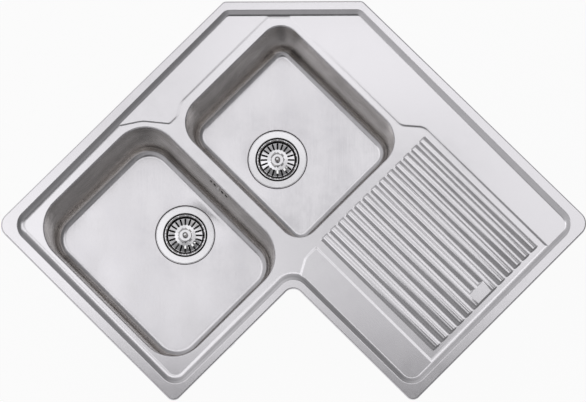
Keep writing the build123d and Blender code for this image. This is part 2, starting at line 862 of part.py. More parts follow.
low_seat = deck_top - sheet
high_seat = ledge_top - sheet
cut_middle = half - corner_cut / 2  # the cut-off corner's middle is at (-cut_middle, cut_middle)
fixings = (
    Fixing(-half, left_edge_fixings[0], (-1, 0), low_seat),
    Fixing(-half, left_edge_fixings[1], (-1, 0), high_seat),
    Fixing(
        -cut_middle - cut_fixing_shift,
        cut_middle - cut_fixing_shift,
        (-sqrt(0.5), sqrt(0.5)),
        low_seat,
    ),
    Fixing(back_edge_fixings[0], half, (0, 1), high_seat),
    Fixing(back_edge_fixings[1], half, (0, 1), high_seat),
    Fixing(half, right_edge_fixing, (1, 0), low_seat),
    Fixing(inner_edge_fixing, -front, (0, -1), high_seat),
    Fixing(front, -inner_edge_fixing, (1, 0), low_seat),
    Fixing(end_edge_fixing, -half, (0, -1), low_seat),
)
plate_top = bracket_sheet - bracket_drop
dog_top = -worktop - dog_tip_height
dog_bottom = dog_top - dog_sheet
nut_top = dog_bottom - moving_gap

with BuildPart() as fixing_brackets:
    for fixing in fixings:
        with BuildSketch(fixing.level(-bracket_drop)):
            with Locations((-(bracket_outer_inset + bracket_inner_inset) / 2, 0)):
                Rectangle(bracket_inner_inset - bracket_outer_inset, bracket_width)
            with Locations((-fixing_inset, 0)):
                Circle(bolt_radius + bolt_play, mode=Mode.SUBTRACT)
        extrude(amount=bracket_sheet)
        with BuildSketch(fixing.level(plate_top)):
            for side in (-1, 1):
                leg_x = -(bracket_leg_inset + bracket_inner_inset) / 2
                with Locations((leg_x, side * (bracket_width - bracket_sheet) / 2)):
                    Rectangle(bracket_inner_inset - bracket_leg_inset, bracket_sheet)
        extrude(amount=fixing.seat - plate_top)
save(fixing_brackets.part, "fixing_brackets")

with BuildPart() as fixing_bolts:
    for fixing in fixings:
        with BuildSketch(fixing.level(plate_top)):
            with Locations((-fixing_inset, 0)):
                RegularPolygon(bolt_head_across / 2, 6, major_radius=False)
        extrude(amount=bolt_head_height)
        with BuildSketch(fixing.level(plate_top)):
            with Locations((-fixing_inset, 0)):
                Circle(bolt_radius)
        extrude(amount=nut_top - nut_height - bolt_tail - plate_top)
save(fixing_bolts.part, "fixing_bolts")

with BuildPart() as fixing_nuts:
    for fixing in fixings:
        with BuildSketch(fixing.level(nut_top - nut_height)):
            with Locations((-fixing_inset, 0)):
                RegularPolygon(bolt_head_across / 2, 6, major_radius=False)
                Circle(bolt_radius + bolt_play, mode=Mode.SUBTRACT)
        extrude(amount=nut_height)
save(fixing_nuts.part, "fixing_nuts")


def fixing_dog(fixing):
    """The toothed claw that grips the worktop's underside, with its hub on the bolt."""
    tip = dog_reach - fixing_inset
    notch = dog_tip_length / 4
    with BuildPart() as dog:
        with BuildSketch(fixing.side()):
            with BuildLine():
                Polyline(
                    (-fixing_inset - dog_heel, dog_bottom),
                    (tip, dog_bottom),
                    (tip, -worktop),
                    (tip - notch, -worktop - dog_tooth),
                    (tip - 2 * notch, -worktop),
                    (tip - 3 * notch, -worktop - dog_tooth),
                    (tip - 4 * notch, -worktop),
                    (tip - 5 * notch, dog_top),
                    (-fixing_inset - dog_heel, dog_top),
                    close=True,
                )
            make_face()
        extrude(amount=dog_width / 2, both=True)
        with BuildSketch(fixing.level(dog_top)):
            with Locations((-fixing_inset, 0)):
                Circle(dog_hub_radius)
        extrude(amount=dog_hub_height)
        with BuildSketch(fixing.level(dog_bottom)):
            with Locations((-fixing_inset, 0)):
                Circle(bolt_radius + bolt_play)
        extrude(amount=dog_sheet + dog_hub_height, mode=Mode.SUBTRACT)
    return dog.part


for number, fixing in enumerate(fixings, start=1):
    save(fixing_dog(fixing), f"fixing_dog_{number}")
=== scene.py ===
"""Looks of an inset corner kitchen sink in satin stainless steel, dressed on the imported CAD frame.

Sizes in the classes are millimetres in the frame of the CAD part: the origin is the middle of the square
that the wall sides span, on the worktop, with +Z up. They become metres when a mesh is made.
"""

import logging
import math
from dataclasses import dataclass
from enum import Enum
from typing import Callable, Optional, Sequence

import bpy
import numpy as np
from mathutils import Matrix, Vector
from mathutils.geometry import delaunay_2d_cdt


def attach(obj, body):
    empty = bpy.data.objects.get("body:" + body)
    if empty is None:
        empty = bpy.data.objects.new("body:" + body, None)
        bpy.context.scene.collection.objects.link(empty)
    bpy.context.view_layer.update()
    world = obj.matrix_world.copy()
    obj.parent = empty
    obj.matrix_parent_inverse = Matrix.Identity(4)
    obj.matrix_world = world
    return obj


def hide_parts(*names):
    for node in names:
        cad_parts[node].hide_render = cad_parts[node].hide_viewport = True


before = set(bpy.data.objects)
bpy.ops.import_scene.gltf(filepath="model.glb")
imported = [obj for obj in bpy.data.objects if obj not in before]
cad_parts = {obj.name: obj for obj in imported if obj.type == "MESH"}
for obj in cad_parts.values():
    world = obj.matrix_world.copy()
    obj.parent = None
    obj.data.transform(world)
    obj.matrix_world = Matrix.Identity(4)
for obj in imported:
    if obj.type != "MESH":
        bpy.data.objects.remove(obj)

LOG = logging.getLogger("corner_sink")
MM = 0.001
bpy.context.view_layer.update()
TINY = 1e-6  # lengths in millimetres and turns in radians below this count as none
NEAR = 1e-9  # slack at the ends of arcs and runs, in millimetres
JOINED = 0.002  # points that are nearer than this count as one, in millimetres
SLIVER = 1e-7  # triangles of less than half this area are left out, in square millimetres
MAP_RADIUS = 20.0  # where a turned piece's map has its true length, in millimetres from the axis

Array = np.ndarray
Spot = tuple[float, float]
Plan = Callable[[Array, Array], Array]


# ---------------------------------------------------------------- plan paths and profiles


@dataclass(frozen=True)
class Trace:
    """Samples along a line with rounded corners: points, left-hand normals and length so far."""

    points: Array
    normals: Array
    lengths: Array

    @classmethod
    def measured(cls, points: Array, normals: Array) -> "Trace":
        """Samples whose length so far is the running sum of |p(i + 1) - p(i)|."""
        steps = np.hypot(*np.diff(points, axis=0).T)
        return cls(points, normals, np.concatenate([[0.0], np.cumsum(steps)]))

    def beside(self, offset: float) -> Array:
        """The samples moved to the left by an offset: P = p + offset * n."""
        return self.points + offset * self.normals

    def part(self, pick: Array | slice) -> "Trace":
        """The picked samples, which keep their lengths."""
        return Trace(self.points[pick], self.normals[pick], self.lengths[pick])


def unit(vectors: Array) -> Array:
    """The same vectors at length 1, one in each row."""
    return vectors / np.maximum(np.linalg.norm(vectors, axis=-1, keepdims=True), NEAR)


def cross(first: Array, second: Array) -> Array:
    """The cross product x1 * y2 - y1 * x2 of plane vectors."""
    return first[..., 0] * second[..., 1] - first[..., 1] * second[..., 0]


def left_of(way: Array) -> Array:
    """The direction a quarter turn to the left: (-y, x)."""
    return np.array([-way[1], way[0]])


def bend(corners: Array, index: int) -> tuple[Array, Array, float]:
    """Unit directions into and out of a corner, and the turn between them, positive to the left.

    Args:
        corners: The corners of a line.
        index: Number of the corner.

    Returns:
        The direction in, the direction out, and the turn in radians.
    """
    before = corners[index] - corners[index - 1]
    after = corners[(index + 1) % len(corners)] - corners[index]
    before, after = before / np.hypot(*before), after / np.hypot(*after)
    return before, after, math.atan2(cross(before, after), before @ after)


def rounded(
    corners: Sequence[Sequence[float]],
    radii: Sequence[float],
    closed: bool,
    arc_step: float = 5.0,
    run_parts: int = 1,
) -> Trace:
    """Samples a polyline whose corners are rounded by tangent arcs.

    An arc of radius r at a corner that turns by a starts r * tan(a / 2) before it, and its point at turn t
    is c - s * r * n(t), where n is the left normal, s the turn's sign and c the arc's centre.

    Args:
        corners: The sharp corners, in order.
        radii: One radius for each corner. Ends of an open line take 0.
        closed: Whether the last corner joins the first.
        arc_step: Largest turn between two samples of an arc, in degrees.
        run_parts: Into how many parts each straight run is divided.

    Returns:
        The samples with their left normals and lengths.
    """
    corner = np.asarray(corners, float)
    count = len(corner)
    pieces: list[Array] = []
    normals: list[Array] = []
    for index in range(count):
        if not closed and index in (0, count - 1):
            along = corner[1] - corner[0] if index == 0 else corner[-1] - corner[-2]
            pieces.append(corner[index][None])
            normals.append(left_of(along / np.hypot(*along))[None])
            continue
        before, _, turn = bend(corner, index)
        radius, heading = radii[index], math.atan2(before[1], before[0])
        if radius <= 0.0 or abs(turn) < TINY:
            middle = heading + turn / 2
            pieces.append(corner[index][None])
            normals.append(np.array([[-math.sin(middle), math.cos(middle)]]) / math.cos(turn / 2))
            continue
        side = math.copysign(1.0, turn)
        start = corner[index] - before * radius * math.tan(abs(turn) / 2)
        centre = start + side * radius * left_of(before)
        angles = heading + np.linspace(0.0, turn, max(3, math.ceil(math.degrees(abs(turn)) / arc_step) + 1))
        left = np.stack([-np.sin(angles), np.cos(angles)], 1)
        pieces.append(centre - side * radius * left)
        normals.append(left)
    if run_parts > 1:
        share = np.linspace(0.0, 1.0, run_parts + 1)[1:-1, None]
        for index in range(count if closed else count - 1):
            here, there = pieces[index][-1], pieces[(index + 1) % count][0]
            pieces[index] = np.vstack([pieces[index], here + (there - here) * share])
            normals[index] = np.vstack([normals[index], np.repeat(normals[index][-1:], run_parts - 1, 0)])
    points, lefts = np.vstack(pieces), np.vstack(normals)
    if closed:
        points, lefts = np.vstack([points, points[:1]]), np.vstack([lefts, lefts[:1]])
    return Trace.measured(points, lefts)


class Outline:
    """A closed plan outline of straight runs and tangent arcs, listed anticlockwise."""

    def __init__(self, corners: Sequence[Sequence[float]], radii: Sequence[float]) -> None:
        """Keeps the corners and the radius of each."""
        self.corners = np.asarray(corners, float)
        self.radii = list(radii)

    def trace(self, arc_step: float = 5.0, run_parts: int = 1) -> Trace:
        """Samples of the outline, whose left normals point inwards."""
        return rounded(self.corners, self.radii, True, arc_step, run_parts)

    def inside(self, x: Array, y: Array) -> Array:
        """Signed distance to the outline, positive inside.

        It is the nearest of all arcs and runs: s * (r - |p - c|) by an arc, and n . (p - a) by a run.

        Args:
            x: Places across the plan.
            y: Places up the plan, in the same shape.

        Returns:
            The distances, in that shape.
        """
        point = np.stack([np.ravel(x), np.ravel(y)], 1)
        best = np.full(len(point), np.inf)
        starts: list[Array] = []
        ends: list[Array] = []
        for index, corner in enumerate(self.corners):
            before, after, turn = bend(self.corners, index)
            side, radius = math.copysign(1.0, turn), self.radii[index]
            reach = radius * math.tan(abs(turn) / 2)
            starts.append(corner - before * reach)
            ends.append(corner + after * reach)
            away = point - (starts[-1] + side * radius * left_of(before))
            first, last = left_of(before), left_of(after)
            among = (cross(away, first) >= -NEAR) & (cross(last, away) >= -NEAR)
            signed = side * (radius - np.hypot(away[:, 0], away[:, 1]))
            best = np.where(among & (np.abs(signed) < np.abs(best)), signed, best)
        for start, end in zip(ends, [*starts[1:], starts[0]]):
            run = end - start
            length = np.hypot(*run)
            if length < NEAR:
                continue
            away, along = point - start, run / length
            place, signed = away @ along, away @ left_of(along)
            among = (place >= -NEAR) & (place <= length + NEAR)
            best = np.where(among & (np.abs(signed) < np.abs(best)), signed, best)
        return best.reshape(np.shape(x))


def ease(share: Array) -> Array:
    """Smooth step from 0 to 1 with level ends: (1 - cos(pi t)) / 2, with t held between 0 and 1."""
    return 0.5 - 0.5 * np.cos(np.pi * np.clip(share, 0.0, 1.0))


# ---------------------------------------------------------------- surfaces


@dataclass
class Patch:
    """Part of a surface in millimetres: points, triangles, one normal and one map place for each point."""

    points: Array
    triangles: Array
    normals: Array
    places: Array

    def __add__(self, other: "Patch") -> "Patch":
        """Both patches as one."""
        return Patch(
            np.vstack([self.points, other.points]),
            np.vstack([self.triangles, other.triangles + len(self.points)]),
            np.vstack([self.normals, other.normals]),
            np.vstack([self.places, other.places]),
        )

    def flipped(self) -> "Patch":
        """The same surface, seen from its other side."""
        return Patch(self.points, self.triangles[:, ::-1], -self.normals, self.places)

    def without(self, drop: Callable[[Array], Array]) -> "Patch":
        """The patch less the triangles whose middle the function picks."""
        middle = self.points[self.triangles].mean(1)
        return Patch(self.points, self.triangles[~drop(middle)], self.normals, self.places)

    def joined_ids(self) -> Array:
        """For each point, the number of the place that it shares with the points beside it."""
        key = np.round(self.points / JOINED).astype(np.int64)
        return np.unique(key, axis=0, return_inverse=True)[1].ravel()

    def shell(self, thickness: float) -> "Patch":
        """The patch as sheet of a thickness: the back is P - thickness * N, and open edges are closed.

        Args:
            thickness: Thickness of the sheet.

        Returns:
            Face, back and the strips that close the open edges.
        """
        under = self.points - thickness * self.normals
        back = Patch(under, self.triangles[:, ::-1], -self.normals, self.places)
        ids = self.joined_ids()
        edges = np.vstack([self.triangles[:, pair] for pair in ([0, 1], [1, 2], [2, 0])])
        edges = edges[ids[edges[:, 0]] != ids[edges[:, 1]]]
        start, end = ids[edges].T
        count = ids.max() + 1
        rim = edges[~np.isin(start * count + end, end * count + start)]
        if not len(rim):
            return self + back
        a, b = rim.T
        outward = unit(np.cross(self.points[b] - self.points[a], self.normals[a]))
        size = len(rim)
        number = np.arange(size)[:, None]
        wall = Patch(
            np.vstack([self.points[a], self.points[b], back.points[a], back.points[b]]),
            np.vstack([number + size * np.array(corners) for corners in ((1, 0, 2), (1, 2, 3))]),
            np.tile(outward, (4, 1)),
            np.vstack([self.places[a], self.places[b], self.places[a], self.places[b]]),
        )
        return self + back + wall


def grid(points: Array, normals: Array, places: Array) -> Patch:
    """A surface given on a grid of two parameters, as arrays of the shape (rows, columns, 3).

    Args:
        points: Points of the surface.
        normals: Their normals.
        places: Their map places.

    Returns:
        The surface, with two triangles to each cell.
    """
    number = np.arange(points[..., 0].size).reshape(points.shape[:2])
    parts = number[:-1, :-1], number[:-1, 1:], number[1:, 1:], number[1:, :-1]
    a, b, c, d = (part.ravel() for part in parts)
    triangles = np.vstack([np.stack([a, b, c], 1), np.stack([a, c, d], 1)])
    return Patch(points.reshape(-1, 3), triangles, normals.reshape(-1, 3), places.reshape(-1, 2))


def carried(profile: Trace, path: Trace) -> Patch:
    """A profile carried along a closed plan path.

    The profile's first coordinate d is the offset inwards from the path and its second z the height:
    P(u, v) = (p(u) + d(v) * n(u), z(v)). From the profile's normal (m, k) the normal is (m(v) * n(u), k(v)).

    Args:
        profile: Samples in the plane of offset and height, whose left normals point out of the material.
        path: Samples of the closed path, whose left normals point inwards.

    Returns:
        The surface. Its map places are the lengths along path and profile.
    """
    offset, height = profile.points[:, 0, None, None], profile.points[:, 1]
    flat = path.points[None] + offset * path.normals[None]
    points = np.dstack([flat, np.broadcast_to(height[:, None], flat.shape[:2])])
    level = profile.normals[:, 0, None, None] * path.normals[None]
    rise = np.broadcast_to(profile.normals[:, 1, None], flat.shape[:2])
    along, down = np.meshgrid(path.lengths, profile.lengths)
    patch = grid(points, unit(np.dstack([level, rise])), np.dstack([along, down]))
    a, b, c = (patch.points[patch.triangles[:, i]] for i in range(3))
    if np.sum(np.cross(b - a, c - a) * patch.normals[patch.triangles[:, 0]]) < 0:
        patch.triangles = patch.triangles[:, ::-1]
    return patch


def filled(
    loops: Sequence[Array],
    lines: Sequence[Array],
    keep: Plan,
    height: Plan,
    spread: float,
    bare: Optional[Plan] = None,
) -> Patch:
    """A height field z = h(x, y) over a plan region, triangulated so that its edges follow the given lines.

    The normal is (-dh/dx, -dh/dy, 1), from central differences over 0.02 mm, made unit length.

    Args:
        loops: Closed boundary loops of the region.
        lines: Further lines, open or closed, that triangle edges follow. They may cross.
        keep: Positive inside the region.
        height: The height h.
        spread: Spacing of a lattice of extra points inside the region.
        bare: Positive where the lattice leaves its points out, because the lines are enough there.

    Returns:
        The surface, facing up. Its map places are x and y.
    """
    outer = np.vstack([*loops, *lines])
    ends = np.cumsum([len(line) for line in (*loops, *lines)]) - 1
    number = np.delete(np.arange(len(outer)), ends)
    low, high = outer.min(0), outer.max(0)
    xs, ys = np.meshgrid(np.arange(low[0], high[0], spread), np.arange(low[1], high[1], spread))
    shift, margin = np.array([0.37, 0.41]), 0.3  # off the box and inside the region, in spacings
    lattice = np.stack([xs.ravel(), ys.ravel()], 1) + shift * spread
    lattice = lattice[keep(*lattice.T) > margin * spread]
    if bare is not None:
        lattice = lattice[bare(*lattice.T) < 0]
    spots = [Vector(p) for p in np.vstack([outer, lattice]).tolist()]
    found = delaunay_2d_cdt(spots, np.stack([number, number + 1], 1).tolist(), [], 0, 1e-5, False)
    flat = np.array([tuple(v) for v in found[0]], float)
    triangles = np.array([tuple(f) for f in found[2]], int)
    triangles = triangles[keep(*flat[triangles].mean(1).T) > 0]
    a, b, c = (flat[triangles[:, i]] for i in range(3))
    area = cross(b - a, c - a)
    triangles[area < 0] = triangles[area < 0][:, ::-1]
    triangles = triangles[np.abs(area) > SLIVER]
    used, triangles = np.unique(triangles, return_inverse=True)
    triangles = triangles.reshape(-1, 3)
    x, y = flat[used].T
    step = 0.01
    slope_x = (height(x + step, y) - height(x - step, y)) / (2 * step)
    slope_y = (height(x, y + step) - height(x, y - step)) / (2 * step)
    normals = unit(np.stack([-slope_x, -slope_y, np.ones_like(x)], 1))
    return Patch(np.stack([x, y, height(x, y)], 1), triangles, normals, np.stack([x, y], 1))


def circle(radius: float, centre: tuple[float, float], count: int = 96) -> Array:
    """A closed loop round a centre: (r cos t, r sin t), with the first point again at the end.

    Args:
        radius: Its radius.
        centre: Its centre.
        count: Number of its sides.

    Returns:
        The loop's points.
    """
    turn = np.linspace(0.0, 2 * np.pi, count + 1)
    loop = np.stack([centre[0] + radius * np.cos(turn), centre[1] + radius * np.sin(turn)], 1)
    loop[-1] = loop[0]
    return loop


def ring_path(centre: tuple[float, float], count: int = 96) -> Trace:
    """The point at a centre as a path whose left normals turn once round it, for turned pieces.

    With the radius as the profile's first coordinate, a carried profile is then a turned surface.

    Args:
        centre: Where the axis stands.
        count: Number of steps round it.

    Returns:
        The path.
    """
    turn = np.linspace(0.0, 2 * np.pi, count + 1)
    normals = np.stack([np.cos(turn), np.sin(turn)], 1)
    normals[-1] = normals[0]
    return Trace(np.repeat(np.array([centre], float), count + 1, 0), normals, turn * MAP_RADIUS)


def slot_loop(
    length: float, width: float, corner: float, centre: Sequence[float], along: Sequence[float] = (1.0, 0.0)
) -> Array:
    """A closed loop round a slot with rounded corners, on two axes at a right angle.

    Args:
        length: Length along the first axis.
        width: Width along the second.
        corner: Radius of the corners.
        centre: The slot's centre.
        along: Unit direction of the first axis.

    Returns:
        The loop's points, with the first one again at the end.
    """
    half_l, half_w = length / 2, width / 2
    corners = [(-half_l, -half_w), (half_l, -half_w), (half_l, half_w), (-half_l, half_w)]
    shape = rounded(corners, [corner] * 4, True, 15.0).points
    way = np.asarray(along, float)
    loop = np.asarray(centre, float) + shape[:, :1] * way + shape[:, 1:] * left_of(way)
    loop[-1] = loop[0]
    return loop


def slot_inside(x: Array, y: Array, length: float, width: float, corner: float) -> Array:
    """Signed distance to a rounded rectangle about the origin, positive inside.

    With q the distance out past the corner arc's centre, it is r - |max(q, 0)| - min(max(q), 0).
    """
    qx, qy = np.abs(x) - length / 2 + corner, np.abs(y) - width / 2 + corner
    return corner - np.hypot(np.maximum(qx, 0.0), np.maximum(qy, 0.0)) - np.minimum(np.maximum(qx, qy), 0.0)


# ---------------------------------------------------------------- materials


class Pattern(Enum):
    """What a finish's grain follows: the plan of the piece, or the piece's own map."""

    PLAN = "Object"
    MAP = "UV"


def linear(colour: str) -> tuple[float, float, float, float]:
    """Turns an sRGB hex colour to linear: ((c + 0.055) / 1.055) ** 2.4 above 0.04045, else c / 12.92.

    Args:
        colour: The colour, as #rrggbb.

    Returns:
        Linear red, green and blue, and 1 for opaque.
    """
    parts = [int(colour[i : i + 2], 16) / 255 for i in (1, 3, 5)]
    red, green, blue = (c / 12.92 if c <= 0.04045 else ((c + 0.055) / 1.055) ** 2.4 for c in parts)
    return red, green, blue, 1.0


class Nodes:
    """A node tree while it is built."""

    def __init__(self, tree: bpy.types.NodeTree) -> None:
        """Keeps the tree."""
        self.tree = tree

    def node(
        self, kind: str, links: Optional[dict] = None, out: int | str = 0, **settings: object
    ) -> bpy.types.NodeSocket:
        """Adds a node with its settings and links.

        Args:
            kind: The node's type, without its prefix.
            links: Input name or number to a value, or to an output socket that feeds it.
            out: Name or number of the output that is wanted.
            **settings: Properties set on the node.

        Returns:
            That output socket.
        """
        made = self.tree.nodes.new(f"ShaderNode{kind}")
        for key, value in settings.items():
            setattr(made, key, value)
        for key, value in (links or {}).items():
            if isinstance(value, bpy.types.NodeSocket):
                self.tree.links.new(value, made.inputs[key])
            else:
                made.inputs[key].default_value = value
        return made.outputs[out]


class Shading(Nodes):
    """A material's node tree while it is built."""

    def __init__(self, name: str) -> None:
        """Starts a material of that name with its shader.

        Args:
            name: The material's name.
        """
        self.material = bpy.data.materials.new(name)
        self.material.use_nodes = True
        super().__init__(self.material.node_tree)
        self.shader = self.tree.nodes["Principled BSDF"]

    def finish(self, links: dict[str, bpy.types.NodeSocket], **values: object) -> bpy.types.Material:
        """Completes the material.

        Args:
            links: Name of a socket of the shader to the output that feeds it.
            **values: The shader's other sockets, with _ for a space in their names.

        Returns:
            The material.
        """
        for key, source in links.items():
            self.tree.links.new(source, self.shader.inputs[key])
        for key, value in values.items():
            self.shader.inputs[key.replace("_", " ")].default_value = value
        return self.material


@dataclass(frozen=True)
class Marks:
    """Parallel marks in a surface: their width, run and depth in millimetres."""

    width: float
    run: float
    depth: float


@dataclass(frozen=True)
class SteelFinish:
    """Stainless steel sheet, brushed along one direction or polished, with the press's faint waves.

    Brushing leaves fine parallel grain that spreads highlights, and pressing leaves waves some
    centimetres long that bend reflections. The grain is about 0.3 mm on the real sheet and is drawn coarser.
    The waves' noise can also lay painted reflection bands into the tone, by the share given for them.
    """

    name: str
    colour: str
    dull_colour: str
    roughness: float
    roughness_spread: float
    grain: Marks
    wave: Marks
    # share of painted reflection bands that the waves' noise lays into the tone
    painted_reflection_bands: float = 0.0
    pattern: Pattern = Pattern.PLAN
    turn: float = 0.0
    cloud_mm: float = 38.0
    grain_share: float = 0.6

    def build(self) -> bpy.types.Material:
        """Makes the material: cloud and grain set tone and gloss, and grain and waves bend the surface.

        The waves' noise also lays painted reflection bands into the tone.

        Returns:
            The material.
        """
        shade = Shading(self.name)
        unit = 1.0 / MM if self.pattern is Pattern.PLAN else 1.0
        source = shade.node("TexCoord", out=self.pattern.value)
        turned = shade.node("Mapping", {"Vector": source, "Rotation": (0.0, 0.0, self.turn)})
        brushed, drawn = (
            shade.node(
                "Mapping",
                {"Vector": turned, "Scale": (unit / marks.run, unit / marks.width, unit / marks.width)},
            )
            for marks in (self.grain, self.wave)
        )
        grain = shade.node("TexNoise", {"Vector": brushed, "Scale": 1.0, "Detail": 3.0, "Roughness": 0.6})
        wave = shade.node("TexNoise", {"Vector": drawn, "Scale": 1.0, "Detail": 1.0})
        cloud = shade.node(
            "TexNoise", {"Vector": turned, "Scale": unit / self.cloud_mm, "Detail": 4.0, "Roughness": 0.62}
        )
        mixed = shade.node("Math", {0: grain, 1: self.grain_share, 2: cloud}, operation="MULTIPLY_ADD")
        low, high = self.roughness - self.roughness_spread, self.roughness + self.roughness_spread
        rough = shade.node("MapRange", {0: mixed, 1: 0.45, 2: 1.15, 3: low, 4: high})
        # Painted reflection: long bands from the waves' noise lighten and darken the tone.
        reflection_band_inputs = {0: wave, 1: self.painted_reflection_bands, 2: -self.painted_reflection_bands / 2}
        painted_reflection = shade.node("Math", reflection_band_inputs, operation="MULTIPLY_ADD")
        tone_and_painted_reflection = shade.node("Math", {0: mixed, 1: painted_reflection}, operation="ADD")
        colours = {0: tone_and_painted_reflection, 6: linear(self.dull_colour), 7: linear(self.colour)}
        tone = shade.node("Mix", colours, 2, data_type="RGBA")
        waved = shade.node("Bump", {"Height": wave, "Strength": 1.0, "Distance": self.wave.depth * MM})
        depth = self.grain.depth * MM
        bump = shade.node("Bump", {"Height": grain, "Normal": waved, "Strength": 1.0, "Distance": depth})
        return shade.finish({"Base Color": tone, "Roughness": rough, "Normal": bump}, Metallic=1.0)


@dataclass(frozen=True)
class MouldedFinish:
    """Moulded plastic or rubber: an even colour with faint flow marks and a fine skin."""

    name: str
    colour: str
    mark_colour: str
    roughness: float
    skin_mm: float
    skin_depth: float
    ior: float = 1.49
    flow_mm: float = 22.0
    roughness_spread: float = 0.06

    def build(self) -> bpy.types.Material:
        """Makes the material.

        Returns:
            The material.
        """
        shade = Shading(self.name)
        source = shade.node("TexCoord", out="Object")
        flow, skin = (
            shade.node("TexNoise", {"Vector": source, "Scale": 1 / (size * MM), "Detail": detail})
            for size, detail in ((self.flow_mm, 4.0), (self.skin_mm, 2.0))
        )
        colours = {0: flow, 6: linear(self.mark_colour), 7: linear(self.colour)}
        tone = shade.node("Mix", colours, 2, data_type="RGBA")
        low, high = self.roughness - self.roughness_spread, self.roughness + self.roughness_spread
        rough = shade.node("MapRange", {0: flow, 1: 0.3, 2: 0.7, 3: low, 4: high})
        bump = shade.node("Bump", {"Height": skin, "Strength": 1.0, "Distance": self.skin_depth * MM})
        return shade.finish({"Base Color": tone, "Roughness": rough, "Normal": bump}, IOR=self.ior)


@dataclass(frozen=True)
class ZincFinish:
    """Zinc-plated pressed steel: a bluish-grey skin whose crystals vary in tone and gloss."""

    name: str = "zinc_plated_steel"
    colour: str = "#c3c7cc"
    dark_colour: str = "#9299a1"
    dull_roughness: float = 0.48
    bright_roughness: float = 0.30
    crystal_mm: float = 2.6
    cloud_mm: float = 9.0

    def build(self) -> bpy.types.Material:
        """Makes the material.

        Returns:
            The material.
        """
        shade = Shading(self.name)
        source = shade.node("TexCoord", out="Object")
        crystal = shade.node("TexVoronoi", {"Vector": source, "Scale": 1 / (self.crystal_mm * MM)}, "Color")
        cloud = shade.node("TexNoise", {"Vector": source, "Scale": 1 / (self.cloud_mm * MM), "Detail": 3.0})
        grey = shade.node("SeparateColor", {0: crystal})
        blend = shade.node("Math", {0: grey, 1: 0.4, 2: cloud}, operation="MULTIPLY_ADD")
        colours = {0: blend, 6: linear(self.dark_colour), 7: linear(self.colour)}
        tone = shade.node("Mix", colours, 2, data_type="RGBA")
        limits = {0: blend, 1: 0.2, 2: 1.0, 3: self.dull_roughness, 4: self.bright_roughness}
        return shade.finish({"Base Color": tone, "Roughness": shade.node("MapRange", limits)}, Metallic=1.0)


# Satin sheet of the deck, brushed along the back wall.
DECK_STEEL = SteelFinish(
    "satin_brushed_stainless_deck",
    "#dad8dc",
    "#cac8cc",
    roughness=0.19,
    roughness_spread=0.04,
    grain=Marks(1.1, 60.0, 0.0012),
    wave=Marks(50.0, 80.0, 0.05),
)
# Drawn steel of the bowls: the grain runs round the walls, and deep drawing leaves longer waves.
# Its dark beige dull colour, laid in long bands along the walls by the waves' noise, is painted reflection
# besides the grain's tone.
BOWL_STEEL = SteelFinish(
    "satin_drawn_stainless_bowl",
    "#e7e3de",
    "#9e968e",
    roughness=0.25,
    roughness_spread=0.03,
    grain=Marks(1.3, 70.0, 0.0003),
    wave=Marks(60.0, 420.0, 0.50),
    painted_reflection_bands=1.6,
    pattern=Pattern.MAP,
)
# The bowls' floors carry the same grain straight across, at half a right angle to the walls.
# The waves' noise lays weaker painted reflection bands into their tone.
FLOOR_STEEL = SteelFinish(
    "satin_drawn_stainless_floor",
    "#dad8dc",
    "#b0aeb3",
    roughness=0.21,
    roughness_spread=0.07,
    grain=Marks(1.3, 70.0, 0.004),
    wave=Marks(70.0, 110.0, 0.12),
    painted_reflection_bands=0.6,
    turn=0.785,
)
POLISHED_GRAIN, POLISHED_WAVE = Marks(0.9, 12.0, 0.002), Marks(14.0, 20.0, 0.02)
# Polished strainer steel, turned on a lathe and buffed.
STRAINER_STEEL = SteelFinish(
    "polished_stainless_strainer", "#e0dfe2", "#cbcace", 0.15, 0.04, POLISHED_GRAIN, POLISHED_WAVE
)
# Painted shade: dark steel on the dish below each basket and on the basket's steep wall stands in for the
# shade in these hollows, so the slots above look black.
PAINTED_SHADE_STEEL = SteelFinish(
    "painted_shade_dark_steel", "#2f2f31", "#232325", 0.48, 0.04, POLISHED_GRAIN, POLISHED_WAVE
)
# Rubber of gaskets and rings: black and matt, with a soft grey sheen at a slant.
BLACK_RUBBER = MouldedFinish("moulded_epdm_rubber", "#161617", "#1f1f20", 0.62, 0.8, 0.03)
# Extruded rubber under the flange: greyer and duller, a thin dark line round the sink.
SEAL_RUBBER = MouldedFinish("extruded_epdm_seal", "#26272a", "#303135", 0.7, 1.2, 0.05)
# Bitumen sheet glued under the bowls: dark, dry and coarse.
PAD_BITUMEN = MouldedFinish("bitumen_damping_sheet", "#3a3a3c", "#2c2c2e", 0.85, 1.6, 0.25)
# Black polypropylene of the overflow's housing: a little glossier than rubber.
HOUSING_PLASTIC = MouldedFinish("moulded_black_polypropylene", "#1b1b1c", "#232324", 0.5, 1.0, 0.02)
# White polypropylene of wastes, sleeves and pipe: bright, with broad soft highlights.
WASTE_PLASTIC = MouldedFinish("moulded_polypropylene_white", "#ebebe8", "#e2e2de", 0.42, 1.0, 0.02)
# Zinc plating of the fixings: bluish grey, uneven in tone and gloss.
ZINC = ZincFinish()


# ---------------------------------------------------------------- putting a piece in the scene


